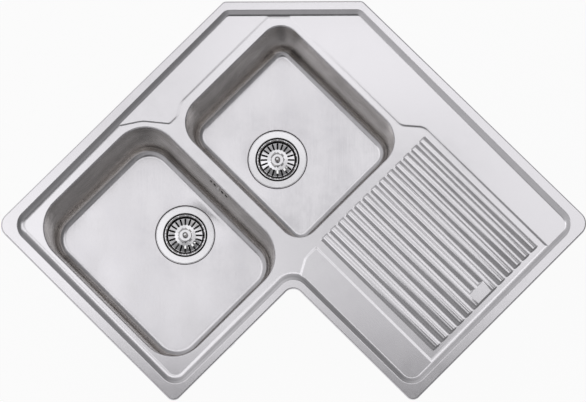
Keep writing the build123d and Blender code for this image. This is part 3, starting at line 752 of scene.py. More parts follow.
def place(
    name: str,
    patch: Patch,
    body: str,
    slot: str,
    finishes: Sequence[bpy.types.Material],
    stands_for: Sequence[str] = (),
    zone: Optional[Callable[[Array], Array]] = None,
) -> bpy.types.Object:
    """Makes a patch a piece of the object.

    Args:
        name: The piece's name.
        patch: Its surface in millimetres.
        body: The CAD body it rides on.
        slot: Not used.
        finishes: Its materials.
        stands_for: The CAD nodes that it replaces.
        zone: Number of the material for each triangle, from the triangles' middles.

    Returns:
        The new object, at the origin, with its place in its mesh.
    """
    ids = patch.joined_ids()
    first = np.full(ids.max() + 1, len(ids))
    np.minimum.at(first, ids, np.arange(len(ids)))
    triangles = ids[patch.triangles]
    real = (triangles != np.roll(triangles, -1, 1)).all(1)
    triangles, source = triangles[real], patch.triangles[real]
    mesh = bpy.data.meshes.new(name)
    mesh.from_pydata((patch.points[first] * MM).tolist(), [], triangles.tolist())
    layer = mesh.uv_layers.new(name="map")
    layer.data.foreach_set("uv", patch.places[source.ravel()].astype(np.float32).ravel())
    for finish in finishes:
        mesh.materials.append(finish)
    if zone is not None:
        mesh.polygons.foreach_set("material_index", zone(patch.points[source].mean(1)).astype(np.int32))
    mesh.polygons.foreach_set("use_smooth", np.ones(len(triangles), bool))
    mesh.normals_split_custom_set(patch.normals[source.ravel()].tolist())
    mesh.update()
    piece = bpy.data.objects.new(name, mesh)
    bpy.context.scene.collection.objects.link(piece)
    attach(piece, body)
    if stands_for:
        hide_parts(*stands_for)
    LOG.info("%s: %d triangles on %s", name, len(triangles), body)
    return piece


# ---------------------------------------------------------------- the sink


@dataclass(frozen=True)
class Bowl:
    """One bowl: its opening at deck level, the radii of its side and tip corners, and its waste's place."""

    name: str
    x_min: float
    x_max: float
    y_min: float
    y_max: float
    radii: tuple[float, float]
    waste: tuple[float, float]
    floor_z: float = -159.0
    draft: float = 5.0
    floor_radius: float = 20.0
    roll_radius: float = 3.0
    roll_margin: float = 12.0
    wall_rows: int = 22
    collar_z: float = -5.0
    fall: float = 1.6
    recess_radius: float = 61.0
    recess_depth: float = 2.4
    recess_run: float = 2.5
    hole_radius: float = 45.0
    sheet: float = 0.9
    deck_z: float = 1.0

    @property
    def opening(self) -> Outline:
        """The opening's outline at deck level."""
        left, right, front, back = self.x_min, self.x_max, self.y_min, self.y_max
        return Outline([(left, front), (right, front), (right, back), (left, back)], self.radii * 2)

    def path(self) -> Trace:
        """Samples of the opening, with seven parts to a straight run, so that a panel can be cut out."""
        return self.opening.trace(arc_step=3.75, run_parts=7)

    def from_waste(self, x: Array, y: Array) -> Array:
        """Distance from the waste's axis."""
        return np.hypot(x - self.waste[0], y - self.waste[1])

    def section(self) -> Trace:
        """The whole section of roll, wall and floor bend, as offset inwards and height.

        Returns:
            Its samples, whose normals point out of the steel.
        """
        base = self.floor_z + self.fall
        inset = (self.deck_z - self.floor_z - self.fall) * math.tan(math.radians(self.draft))
        points = [(-self.roll_margin, self.deck_z), (0.0, self.deck_z), (inset, base), (inset + 60.0, base)]
        line = rounded(points, [0.0, self.roll_radius, self.floor_radius, 0.0], False, arc_step=6.0)
        top = 1 + int(np.argmax(np.diff(line.lengths)[1:-1]))  # the longest step is the straight wall
        high, low = line.points[top], line.points[top + 1]
        share = np.linspace(0.0, 1.0, self.wall_rows)[1:-1]
        at_collar = (self.collar_z - high[1]) / (low[1] - high[1])
        wall = high + (low - high) * np.append(share, at_collar)[:, None]
        wall = wall[np.argsort(-wall[:, 1])]
        facing = np.repeat(line.normals[top][None], len(wall), 0)
        return Trace.measured(
            np.vstack([line.points[1 : top + 1], wall, line.points[top + 1 : -1]]),
            np.vstack([line.normals[1 : top + 1], facing, line.normals[top + 1 : -1]]),
        )

    def cut_section(self, above: bool) -> Trace:
        """The section above the collar's end, which is the deck's, or the bowl's part below it.

        Args:
            above: Whether the deck's part is wanted.

        Returns:
            The samples of that part.
        """
        whole = self.section()
        over = whole.points[:, 1] - self.collar_z
        return whole.part(over >= -TINY if above else over <= TINY)

    def floor_height(self, x: Array, y: Array) -> Array:
        """Height of the floor, which falls to the waste in four faint folds.

        With d the distance in from the floor's edge and e the distance out from the recess, the fall's
        share is e / (e + d), and the recess is a smooth step down.

        Args:
            x: Places across the plan.
            y: Places up the plan, in the same shape.

        Returns:
            The heights, in that shape.
        """
        edge = self.section().points[-1, 0]
        border = np.maximum(self.opening.inside(x, y) - edge, 0.0)
        out = self.from_waste(x, y)
        beyond = np.maximum(out - self.recess_radius, 0.0)
        share = beyond / (beyond + border + NEAR)
        step = ease((self.recess_radius - out) / self.recess_run)
        return self.floor_z + self.fall * np.where(beyond > 0, share, 0.0) - self.recess_depth * step

    def build(self) -> Patch:
        """The bowl's walls, floor bend and floor.

        Returns:
            The surface, which faces into the bowl.
        """
        path = self.path()
        edge = self.section().points[-1, 0]
        steps = self.recess_radius - self.recess_run * np.linspace(-0.2, 1.2, 9)
        lines = [circle(radius, self.waste) for radius in steps]
        lines += [path.beside(edge + more) for more in (4.0, 12.0, 24.0)]

        def keep(x: Array, y: Array) -> Array:
            """Positive on the floor, between its edge and the waste hole."""
            return np.minimum(self.opening.inside(x, y) - edge, self.from_waste(x, y) - self.hole_radius)

        loops = [path.beside(edge), circle(self.hole_radius, self.waste)]
        return carried(self.cut_section(False), path) + filled(loops, lines, keep, self.floor_height, 9.0)


@dataclass(frozen=True)
class Overflow:
    """The punched slots and the screw hole in the left bowl's wall beside the divider.

    The slots are taller than the solids' ones, because the wall is seen almost on edge from above.
    """

    z: float = -28.0
    slot_width: float = 6.0
    slot_height: float = 14.0
    corner: float = 2.9
    pitch: float = 10.6
    screw_hole: float = 2.05
    half_window: float = 57.0
    window_top: float = -10.0
    window_bottom: float = -47.0
    window_depth: float = 16.0

    def cut(self, bowl: Bowl, wall: Patch) -> Patch:
        """Takes a panel out of the bowl's wall and puts back one with the slots.

        The panel is a plane: its first coordinate is x and its second the distance s down the wall, with
        y = y0 - s sin(draft) and z = z0 - s cos(draft).

        Args:
            bowl: The bowl.
            wall: Its surface, with the wall along the largest y.

        Returns:
            The surface with the slotted panel.
        """
        lean, middle = math.radians(bowl.draft), bowl.waste[0]
        rows = bowl.cut_section(False).points[:, 1]
        top, bottom = rows[rows >= self.window_top].min(), rows[rows <= self.window_bottom].max()
        path = bowl.path().points
        side = path[np.abs(path[:, 1] - bowl.y_max) < TINY, 0]
        near = side[np.abs(side - middle) < self.half_window]
        left, right = near.min(), near.max()

        def in_panel(points: Array) -> Array:
            """Whether a point lies on the panel."""
            x, y, z = points.T
            return (y > bowl.y_max - self.window_depth) & (x > left) & (x < right) & (z < top) & (z > bottom)

        heights = rows[(rows <= top + TINY) & (rows >= bottom - TINY)]
        down = np.sort((top - heights) / math.cos(lean))
        across = np.unique(np.round(side[(side >= left - TINY) & (side <= right + TINY)], 6))
        edge = np.vstack(
            [
                np.stack([across, np.full_like(across, down.max())], 1),
                np.stack([np.full_like(down, across.max()), down[::-1]], 1)[1:],
                np.stack([across[::-1], np.zeros_like(across)], 1)[1:],
                np.stack([np.full_like(down, across.min()), down], 1)[1:],
            ]
        )
        level = (top - self.z) / math.cos(lean)
        spots = [middle + k * self.pitch for k in (-2, -1, 1, 2)]
        size = self.slot_width, self.slot_height, self.corner
        holes = [slot_loop(*size, (spot, level)) for spot in spots]
        holes.append(circle(self.screw_hole, (middle, level), 24))

        def keep(x: Array, y: Array) -> Array:
            """Positive on the panel, outside its slots and the screw's hole."""
            gaps = [-slot_inside(x - spot, y - level, *size) for spot in spots]
            gaps.append(np.hypot(x - middle, y - level) - self.screw_hole)
            return np.minimum.reduce([*gaps, x - left, right - x, y, down.max() - y])

        flat = filled([edge, *holes], [], keep, lambda x, y: np.zeros_like(x), spread=6.0)
        x, s = flat.points[:, 0], flat.points[:, 1]
        wall_y = bowl.y_max - (bowl.deck_z - top) * math.tan(lean) - s * math.sin(lean)
        points = np.stack([x, wall_y, top - s * math.cos(lean)], 1)
        normal = np.array([0.0, -math.cos(lean), math.sin(lean)])
        a, b, c = points[flat.triangles[0]]
        triangles = flat.triangles if np.cross(b - a, c - a) @ normal > 0 else flat.triangles[:, ::-1]
        panel = Patch(points, triangles, np.repeat(normal[None], len(points), 0), np.stack([-x, s], 1))
        return wall.without(in_panel) + panel


LEFT = Bowl("left", -365.0, 38.0, -370.0, -48.0, (70.0, 70.0), (-159.5, -152.0))
CORNER = Bowl("corner", -312.0, 38.0, -21.0, 277.0, (56.0, 42.0), (-137.0, 88.0))


@dataclass(frozen=True)
class Deck:
    """The pressed deck: flange, rim step, ledges, drainer ribs and rolled openings.

    Radii come in the order wall, front, inner and cut corner. The ledges' borders run on below the rim.
    """

    half: float = 415.0
    front: float = 85.0
    cut: float = 195.0
    outline_radii: tuple[float, ...] = (28.0, 16.0, 20.0, 12.0)
    step_radii: tuple[float, ...] = (33.0, 33.0, 30.0, 20.0)
    rim_top: float = 7.0
    rim_gap: float = 0.3
    lip_radius: float = 3.0
    flange_width: float = 18.0
    flange_at_wall_ends: float = 21.5
    flange_at_cut: float = 15.0
    flange_left_end: float = 20.5
    flange_right_end: float = 19.0
    flange_front: float = 15.5
    step_run: float = 11.0
    crest_radius: float = 4.0
    root_radius: float = 28.0
    deck_z: float = 1.0
    ledge_height: float = 0.8
    ledge_run: float = 6.0
    ledge_inset: float = 4.0  # in from the step's line, where ledges and ribs may begin
    left_ledge_end: float = 87.0  # in from the sink's left side
    left_ledge_side_y: float = -118.0
    left_ledge: tuple[Spot, ...] = ((-385.0, -110.0), (-356.0, -66.0), (-313.0, -31.0), (-313.0, -8.0))
    left_ledge_tip_y: float = 18.0
    left_ledge_radii: tuple[float, ...] = (0.0, 0.0, 0.0, 0.0, 50.0, 12.5, 25.0, 25.0)
    back_ledge: tuple[Spot, ...] = ((-312.0, 287.5), (12.0, 287.5), (47.0, 317.5))
    back_ledge_radius: float = 25.0
    panel: tuple[Spot, ...] = ((61.0, 2.5), (61.0, -30.0))
    panel_tip_x: float = 81.0
    panel_radii: tuple[float, ...] = (0.0, 6.0, 25.0, 0.0, 0.0)
    rib_start: float = 58.0
    rib_end: float = 372.0
    rib_count: int = 13
    rib_first: float = 298.7
    rib_pitch: float = 22.7
    rib_height: float = 1.6
    rib_width: float = 22.7
    rib_run: float = 10.8
    rib_sharpness: float = 0.92
    rib_end_run: float = 4.5
    rib_corner: float = 8.0
    pad_length: float = 32.0
    pad_first: int = 5
    pad_ribs: int = 2
    sheet: float = 0.9

    def closed(self, corners: Sequence[Spot], radii: Sequence[float]) -> Outline:
        """An outline through the plan's seven corners, from the left end's wall corner, anticlockwise."""
        at_wall, at_front, inner, at_cut = radii
        return Outline(corners, [at_wall, at_front, inner, at_front, at_wall, at_cut, at_cut])

    def plan(self) -> Outline:
        """The sink's plan."""
        wall, edge, start = self.half, self.front, self.cut - self.half
        corners = [(-wall, -wall), (edge, -wall), (edge, -edge), (wall, -edge), (wall, wall), (start, wall)]
        return self.closed([*corners, (-wall, -start)], self.outline_radii)

    def step_line(self) -> Outline:
        """The line where the rim's step begins, nearer to the edge at the cut corner and the front."""
        cut = 2 * self.half - self.cut - self.flange_width * math.sqrt(2)
        back, near = self.half - self.flange_at_wall_ends, self.half - self.flange_at_cut
        front, right = self.front - self.flange_front, self.half - self.flange_right_end
        left_end = self.flange_left_end - self.half
        corners = [(-back, left_end), (front, left_end), (front, -front), (right, -front), (right, back)]
        return self.closed([*corners, (near - cut, near), (-near, cut - near)], self.step_radii)

    def ledges(self) -> tuple[Outline, ...]:
        """The borders of the left ledge, the ledge along the back wall, and the front panel.

        Returns:
            Their outlines.
        """
        beyond = self.half - self.flange_width
        diagonal = 2 * self.half - self.cut - self.flange_width
        end = self.left_ledge_end - self.half
        left = [(end, diagonal + end), (-beyond, diagonal - beyond), (-beyond, self.left_ledge_side_y)]
        back_end = self.back_ledge[-1][1]
        back = [(beyond, back_end), (beyond, beyond), (self.back_ledge[0][0], beyond)]
        edge, radius = self.flange_width - self.front, self.back_ledge_radius
        return (
            Outline([*left, *self.left_ledge, (end, self.left_ledge_tip_y)], self.left_ledge_radii),
            Outline([*self.back_ledge, *back], [0.0, radius, radius, 0.0, 0.0, 0.0]),
            Outline(
                [(beyond, self.panel[0][1]), *self.panel, (self.panel_tip_x, edge), (beyond, edge)],
                self.panel_radii,
            ),
        )

    def step_profile(self) -> Trace:
        """The rim step as offset inwards and height: flange, rounded crest, slope, rounded root, deck."""
        run, top, low = self.step_run, self.rim_top, self.deck_z
        points = [(-8.0, top), (0.0, top), (run, low), (40.0, low)]
        return rounded(points, [0.0, self.crest_radius, self.root_radius, 0.0], False, arc_step=3.0)

    def raised(self) -> list[tuple[float, float, float, float]]:
        """Middle x and y, length and width of each rib, and of the plain pad that cuts off two valleys."""
        length = self.rib_end - self.rib_start
        middle = (self.rib_start + self.rib_end) / 2
        rows = [self.rib_first - k * self.rib_pitch for k in range(self.rib_count)]
        ribs = [(middle, row, length, self.rib_width) for row in rows]
        pad_y = self.rib_first - (self.pad_first + self.pad_ribs / 2) * self.rib_pitch
        pad_width = self.pad_ribs * self.rib_pitch + self.rib_width / 2
        return [*ribs, (self.rib_end - self.pad_length / 2, pad_y, self.pad_length, pad_width)]

    def rib_inside(self, x: Array, y: Array) -> Array:
        """Distance in from the border of the rib or pad that the point is furthest inside.

        Along x the distance counts rib_run / rib_end_run times, because the ends are steeper than the sides.

        Args:
            x: Places across the plan.
            y: Places up the plan, in the same shape.

        Returns:
            The distances, positive on a rib or the pad.
        """
        steep = self.rib_run / self.rib_end_run
        best = np.full(np.shape(x), -np.inf)
        for middle, centre, length, width in self.raised():
            along = length / 2 - (length / 2 - np.abs(x - middle)) * steep
            best = np.maximum(best, slot_inside(along, y - centre, length, width, self.rib_corner))
        return best

    def rib_lines(self) -> list[Array]:
        """Lines of equal distance in from the border of each rib and of the pad.

        Returns:
            The lines, as closed loops.
        """
        steep = self.rib_run / self.rib_end_run
        insets = [*np.linspace(0.0, self.rib_run, 13)[:-1], self.rib_run - 0.05]
        lines = []
        for middle, centre, length, width in self.raised():
            for inset in insets:
                corner = max(self.rib_corner - inset, 0.0)
                loop = slot_loop(length - 2 * inset, width - 2 * inset, corner, (0.0, 0.0))
                from_end = (length / 2 - np.abs(loop[:, 0])) / steep
                loop[:, 0] = middle + np.sign(loop[:, 0]) * (length / 2 - from_end)
                loop[:, 1] += centre
                lines.append(loop)
        return lines

    def height(self, x: Array, y: Array) -> Array:
        """Height of the deck's upper face.

        It is the rim step's height at the distance in from the step's line, but no lower than the ledges and
        ribs: deck + height * ease(d / run), with d the distance in from the border of each. The ribs' share
        d / run is raised to a power below 1, so that the valleys between them stay narrow.

        Args:
            x: Places across the plan.
            y: Places up the plan, in the same shape.

        Returns:
            The heights, in that shape.
        """
        inner = self.step_line().inside(x, y)
        run, top, low = self.step_run, self.rim_top, self.deck_z
        lean = math.atan2(top - low, run)
        crest, root = self.crest_radius, self.root_radius
        near, far = crest * math.tan(lean / 2), root * math.tan(lean / 2)
        limits = [-near, near * math.cos(lean), run - far * math.cos(lean), run + far]
        heights = [
            np.full_like(inner, top),
            top - crest + np.sqrt(np.maximum(crest**2 - (inner + near) ** 2, 0)),
            top - (top - low) * inner / run,
            low + root - np.sqrt(np.maximum(root**2 - (run + far - inner) ** 2, 0)),
        ]
        rim = np.select([inner <= limit for limit in limits], heights, low)
        raised = np.full_like(inner, low)
        for ledge in self.ledges():
            raised = np.maximum(raised, low + self.ledge_height * ease(ledge.inside(x, y) / self.ledge_run))
        share = np.clip(self.rib_inside(x, y) / self.rib_run, 0.0, 1.0)
        ribs = low + self.rib_height * ease(share**self.rib_sharpness)
        return np.maximum(rim, np.where(inner > self.ledge_inset, np.maximum(raised, ribs), 0.0))

    def build(self, bowls: Sequence[Bowl]) -> Patch:
        """The deck's upper face with its turned-down lip and the rolls and collars of the openings.

        Args:
            bowls: The bowls that hang in the deck.

        Returns:
            The surface.
        """
        outline = self.plan()
        path = outline.trace(arc_step=4.0, run_parts=6)
        corners = [(0.0, self.rim_gap), (0.0, self.rim_top), (20.0, self.rim_top)]
        lip = rounded(corners, [0.0, self.lip_radius, 0.0], False, arc_step=9.0).part(slice(None, -1))
        sections = [bowl.cut_section(True) for bowl in bowls]
        starts = [section.points[0, 0] for section in sections]

        def keep(x: Array, y: Array) -> Array:
            """Positive on the deck, inside the lip and outside the rolled openings."""
            gaps = [start - bowl.opening.inside(x, y) for start, bowl in zip(starts, bowls)]
            return np.minimum.reduce([outline.inside(x, y) - self.lip_radius, *gaps])

        loops = [path.beside(self.lip_radius)]
        loops += [bowl.path().beside(start) for start, bowl in zip(starts, bowls)]
        step = self.step_line().trace(arc_step=4.0, run_parts=4)
        lines = [step.beside(offset) for offset in self.step_profile().points[1:-1, 0]]
        lines += [step.beside(offset) for offset in np.linspace(2.2, self.step_run - 2.4, 4)]
        for ledge in self.ledges():
            trace = ledge.trace(arc_step=6.0, run_parts=8)
            lines += [trace.beside(offset) for offset in np.linspace(0.0, self.ledge_run, 9)]
        lines += self.rib_lines()
        whole = filled(loops, lines, keep, self.height, 22.0, bare=self.rib_inside) + carried(lip, path)
        for section, bowl in zip(sections, bowls):
            whole = whole + carried(section, bowl.path())
        return whole


@dataclass(frozen=True)
class Strainer:
    """A basket waste: the dish in the floor's recess and the slotted basket with its knob."""

    bowl: Bowl
    dish_sheet: float = 0.8
    seal: float = 0.8
    flange_radius: float = 57.5
    mouth: float = 44.4
    throat: float = 42.8
    throat_depth: float = 4.5
    dish_floor: float = 40.5
    dish_flat: float = 34.0
    dish_depth: float = 18.0
    holes: int = 8
    hole_radius: float = 6.5
    hole_circle: float = 25.0
    screw_hole: float = 3.3
    sheet: float = 0.7
    rim_radius: float = 41.2
    rim_depth: float = 1.4
    basket_mouth: float = 37.9
    trough: float = 34.6
    trough_depth: float = 7.4
    # depth below the floor's recess at which the dish's painted shade begins
    painted_shade_depth: float = 0.6
    disc: float = 21.5
    disc_depth: float = 5.0
    hub: float = 11.0
    hub_depth: float = 3.6
    hub_step: tuple[float, float] = (1.6, 0.7)
    slots: int = 20
    slot_width: float = 3.7
    slot_inner: float = 20.5
    slot_outer: float = 34.4
    knob_radius: float = 5.6
    knob_height: float = 11.0
    knob_brim: tuple[float, float] = (5.6, 5.4)
    stem: float = 3.5

    def turned(self, points: Sequence[Spot], radii: Sequence[float], step: float = 6.0) -> Patch:
        """Turns a profile of radius and height above the floor about the waste's axis. It faces right.

        Args:
            points: Corners of the profile.
            radii: Radius of each corner.
            step: Largest turn between two samples of a corner, in degrees.

        Returns:
            The surface.
        """
        line = rounded(points, radii, False, step)
        lifted = Trace(line.points + np.array([0.0, self.bowl.floor_z]), line.normals, line.lengths)
        return carried(lifted, ring_path(self.bowl.waste)).flipped()

    def dish(self) -> Patch:
        """The dish: flange, rounded mouth, steep wall, and a floor with round drain holes.

        Returns:
            The dish's upper face.
        """
        flange = self.dish_sheet + self.seal - self.bowl.recess_depth
        wall = self.turned(
            [
                (self.flange_radius, flange - 0.5),
                (self.flange_radius, flange),
                (self.mouth, flange),
                (self.throat, -self.throat_depth),
                (self.dish_floor, -self.dish_depth),
                (self.dish_flat, -self.dish_depth),
            ],
            [0.0, 0.45, 1.4, 1.4, 4.0, 0.0],
        )
        turn = np.arange(self.holes) * 2 * np.pi / self.holes
        centres = np.array(self.bowl.waste) + self.hole_circle * np.stack([np.cos(turn), np.sin(turn)], 1)
        loops = [circle(self.dish_flat, self.bowl.waste), circle(self.screw_hole, self.bowl.waste, 24)]
        loops += [circle(self.hole_radius, tuple(centre), 32) for centre in centres]

        def keep(x: Array, y: Array) -> Array:
            """Positive on the dish's floor, outside its holes."""
            out = self.bowl.from_waste(x, y)
            gaps = [np.hypot(x - cx, y - cy) - self.hole_radius for cx, cy in centres]
            return np.minimum.reduce([self.dish_flat - out, out - self.screw_hole, *gaps])

        level = self.bowl.floor_z - self.dish_depth
        return wall + filled(loops, [], keep, lambda x, y: np.full_like(x, level), spread=5.0)

    def basket_line(self) -> Trace:
        """The basket's section from the axis out to the rim, as radius and height."""
        points = [
            (0.0, -self.hub_depth),
            (self.hub, -self.hub_depth),
            (self.hub + self.hub_step[0], -self.hub_depth - self.hub_step[1]),
            (self.disc, -self.disc_depth),
            (self.trough, -self.trough_depth),
            (self.basket_mouth, -self.rim_depth),
            (self.rim_radius, -self.rim_depth),
        ]
        return rounded(points, [0.0, 0.8, 1.0, 9.0, 1.6, 1.0, 0.0], False, arc_step=2.0)

    def basket(self) -> Patch:
        """The basket as a height field of the radius, z = f(r), with radial slots.

        Returns:
            The basket's upper face.
        """
        line, bowl = self.basket_line(), self.bowl
        (reach, heights), (cx, cy) = line.points.T, bowl.waste
        turn = (np.arange(self.slots) + 0.5) * 2 * np.pi / self.slots
        ways = [(math.cos(t), math.sin(t)) for t in turn]
        middle = (self.slot_inner + self.slot_outer) / 2
        size = self.slot_outer - self.slot_inner, self.slot_width, self.slot_width / 2 - 0.01
        slots = [slot_loop(*size, (cx + middle * c, cy + middle * s), (c, s)) for c, s in ways]
        loops = [circle(self.rim_radius, bowl.waste, 120), circle(self.stem, bowl.waste, 40), *slots]
        radii = reach[(reach > self.stem) & (reach < self.rim_radius - 0.05)]
        radii = radii[np.append(True, np.diff(radii) > 0.04)]
        rings = [circle(radius, bowl.waste, 120) for radius in [*radii, *np.linspace(23.0, 33.0, 6)]]

        def height(x: Array, y: Array) -> Array:
            """Height at the radius, from the section."""
            return bowl.floor_z + np.interp(bowl.from_waste(x, y), reach, heights)

        def keep(x: Array, y: Array) -> Array:
            """Positive on the basket, outside its slots."""
            out, dx, dy = bowl.from_waste(x, y), x - cx, y - cy
            gaps = [-slot_inside(dx * c + dy * s - middle, dy * c - dx * s, *size) for c, s in ways]
            return np.minimum.reduce([self.rim_radius - out, out - self.stem, *gaps])

        field = filled(loops, rings, keep, height, spread=4.0)
        around = field.points[:, :2] - np.array(bowl.waste)
        out = np.hypot(*around.T)
        level, rise = (np.interp(out, reach, part) for part in line.normals.T)
        around /= np.maximum(out, TINY)[:, None]
        field.normals = unit(np.column_stack([around * level[:, None], rise]))
        return field

    def knob(self) -> Patch:
        """The mushroom knob on its stem, with a flat-bottomed brim, turned about the axis.

        Returns:
            The knob's surface.
        """
        top = self.knob_height - self.hub_depth
        under, brim = self.knob_brim
        points = [
            (self.stem, -self.hub_depth - 0.2),
            (self.stem, top - under),
            (self.knob_radius, top - brim),
            (self.knob_radius, top),
            (0.0, top),
        ]
        return self.turned(points, [0.0, 0.6, 0.4, 4.6, 0.0], step=8.0)

    def place(self, steel: bpy.types.Material, painted_shade: bpy.types.Material) -> None:
        """Puts dish, basket and knob in the scene.

        Args:
            steel: Finish of all that is polished.
            painted_shade: Dark steel of painted shade, on the dish below its mouth and on the basket's steep
                wall.
        """
        name, body, slot = self.bowl.name, f"{self.bowl.name}_strainer", "polished_steel"
        level = self.bowl.floor_z - self.bowl.recess_depth - self.painted_shade_depth

        def painted_shade_in_dish(middle: Array) -> Array:
            """Whether a triangle of the dish lies below its mouth, where shade is painted."""
            return middle[:, 2] < level

        def painted_shade_on_wall(middle: Array) -> Array:
            """Whether a triangle of the basket lies on its steep wall, where shade is painted."""
            out = self.bowl.from_waste(middle[:, 0], middle[:, 1])
            return (out > self.trough) & (out < self.basket_mouth + 0.1)

        both, dish, basket = [steel, painted_shade], f"{name}_strainer_dish", f"{name}_basket"
        place(f"{dish}_turned", self.dish().shell(self.dish_sheet), "sink", slot, both, [dish], painted_shade_in_dish)
        place(f"{basket}_pressed", self.basket().shell(self.sheet), body, slot, both, [basket], painted_shade_on_wall)
        place(f"{name}_knob_turned", self.knob(), body, slot, [steel], [f"{basket}_knob"])


@dataclass(frozen=True)
class Fittings:
    """The parts that keep their CAD shapes: seals, pads, wastes, overflow and worktop fixings.

    Each list holds words that stand in the nodes' names.
    """

    rubber: tuple[str, ...] = ("dish_seal", "body_gasket", "basket_ring", "overflow_gasket")
    plastic: tuple[str, ...] = ("waste_body", "basket_sleeve", "overflow_pipe", "overflow_nuts")
    steel: tuple[str, ...] = ("clamp_screw", "overflow_screw")

    def dress(self) -> None:
        """Gives every such node its finish."""
        finishes = {
            SEAL_RUBBER: ("worktop_seal",),
            PAD_BITUMEN: ("bowl_pad",),
            BLACK_RUBBER: self.rubber,
            WASTE_PLASTIC: self.plastic,
            HOUSING_PLASTIC: ("overflow_housing",),
            STRAINER_STEEL: self.steel,
            ZINC: ("fixing_",),
        }
        made = {finish: finish.build() for finish in finishes}
        for name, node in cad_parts.items():
            chosen = next((f for f, words in finishes.items() if any(word in name for word in words)), None)
            if chosen is None:
                continue
            node.data.materials.clear()
            node.data.materials.append(made[chosen])
            LOG.info("%s: %s", name, chosen.name)


@dataclass(frozen=True)
class Sink:
    """The pressed deck with both bowls."""

    deck: Deck = Deck()
    overflow: Overflow = Overflow()
    floor_bend_share: float = 0.4  # how far up the floor's bend the floor's finish reaches

    def place(self) -> None:
        """Builds deck and bowls and puts them in the scene."""
        finishes = [BOWL_STEEL.build(), FLOOR_STEEL.build()]
        deck = self.deck.build((LEFT, CORNER)).shell(self.deck.sheet)
        place("pressed_deck", deck, "sink", "pressed_steel", [DECK_STEEL.build()], ["sink_deck"])
        for bowl in (LEFT, CORNER):
            shape = self.overflow.cut(bowl, bowl.build()) if bowl is LEFT else bowl.build()
            base = bowl.floor_z + bowl.fall + self.floor_bend_share * bowl.floor_radius

            def low(middle: Array, base: float = base) -> Array:
                """Whether a triangle belongs to the floor."""
                return middle[:, 2] < base

            name, shell = f"drawn_{bowl.name}_bowl", shape.shell(bowl.sheet)
            place(name, shell, "sink", "bowl_steel", finishes, [f"{bowl.name}_bowl"], low)


# ---------------------------------------------------------------- studio


@dataclass(frozen=True)
class SoftBox:
    """One soft box overhead, in metres across the sink's diagonal and away from the camera along it."""

    name: str
    across: tuple[float, float]
    away: tuple[float, float]
    level: float

    def hang(self, height: float) -> None:
        """Hangs the box level at a height.

        An area lamp of energy E and area A sends E / (pi A) watts per square metre and steradian.

        Args:
            height: Height of the box above the worktop, in metres.
        """
        data = bpy.data.lights.new(f"{self.name}_softbox", "AREA")
        data.shape = "RECTANGLE"
        data.size, data.size_y = self.across[1] - self.across[0], self.away[1] - self.away[0]
        data.energy = self.level * math.pi * data.size * data.size_y
        lamp = bpy.data.objects.new(data.name, data)
        across = Vector((1.0, 1.0, 0.0)).normalized()
        away = Vector((-1.0, 1.0, 0.0)).normalized()
        middle = across * sum(self.across) / 2 + away * sum(self.away) / 2
        lamp.location = (middle.x, middle.y, height)
        lamp.rotation_euler = (0.0, 0.0, math.radians(45.0))
        bpy.context.scene.collection.objects.link(lamp)


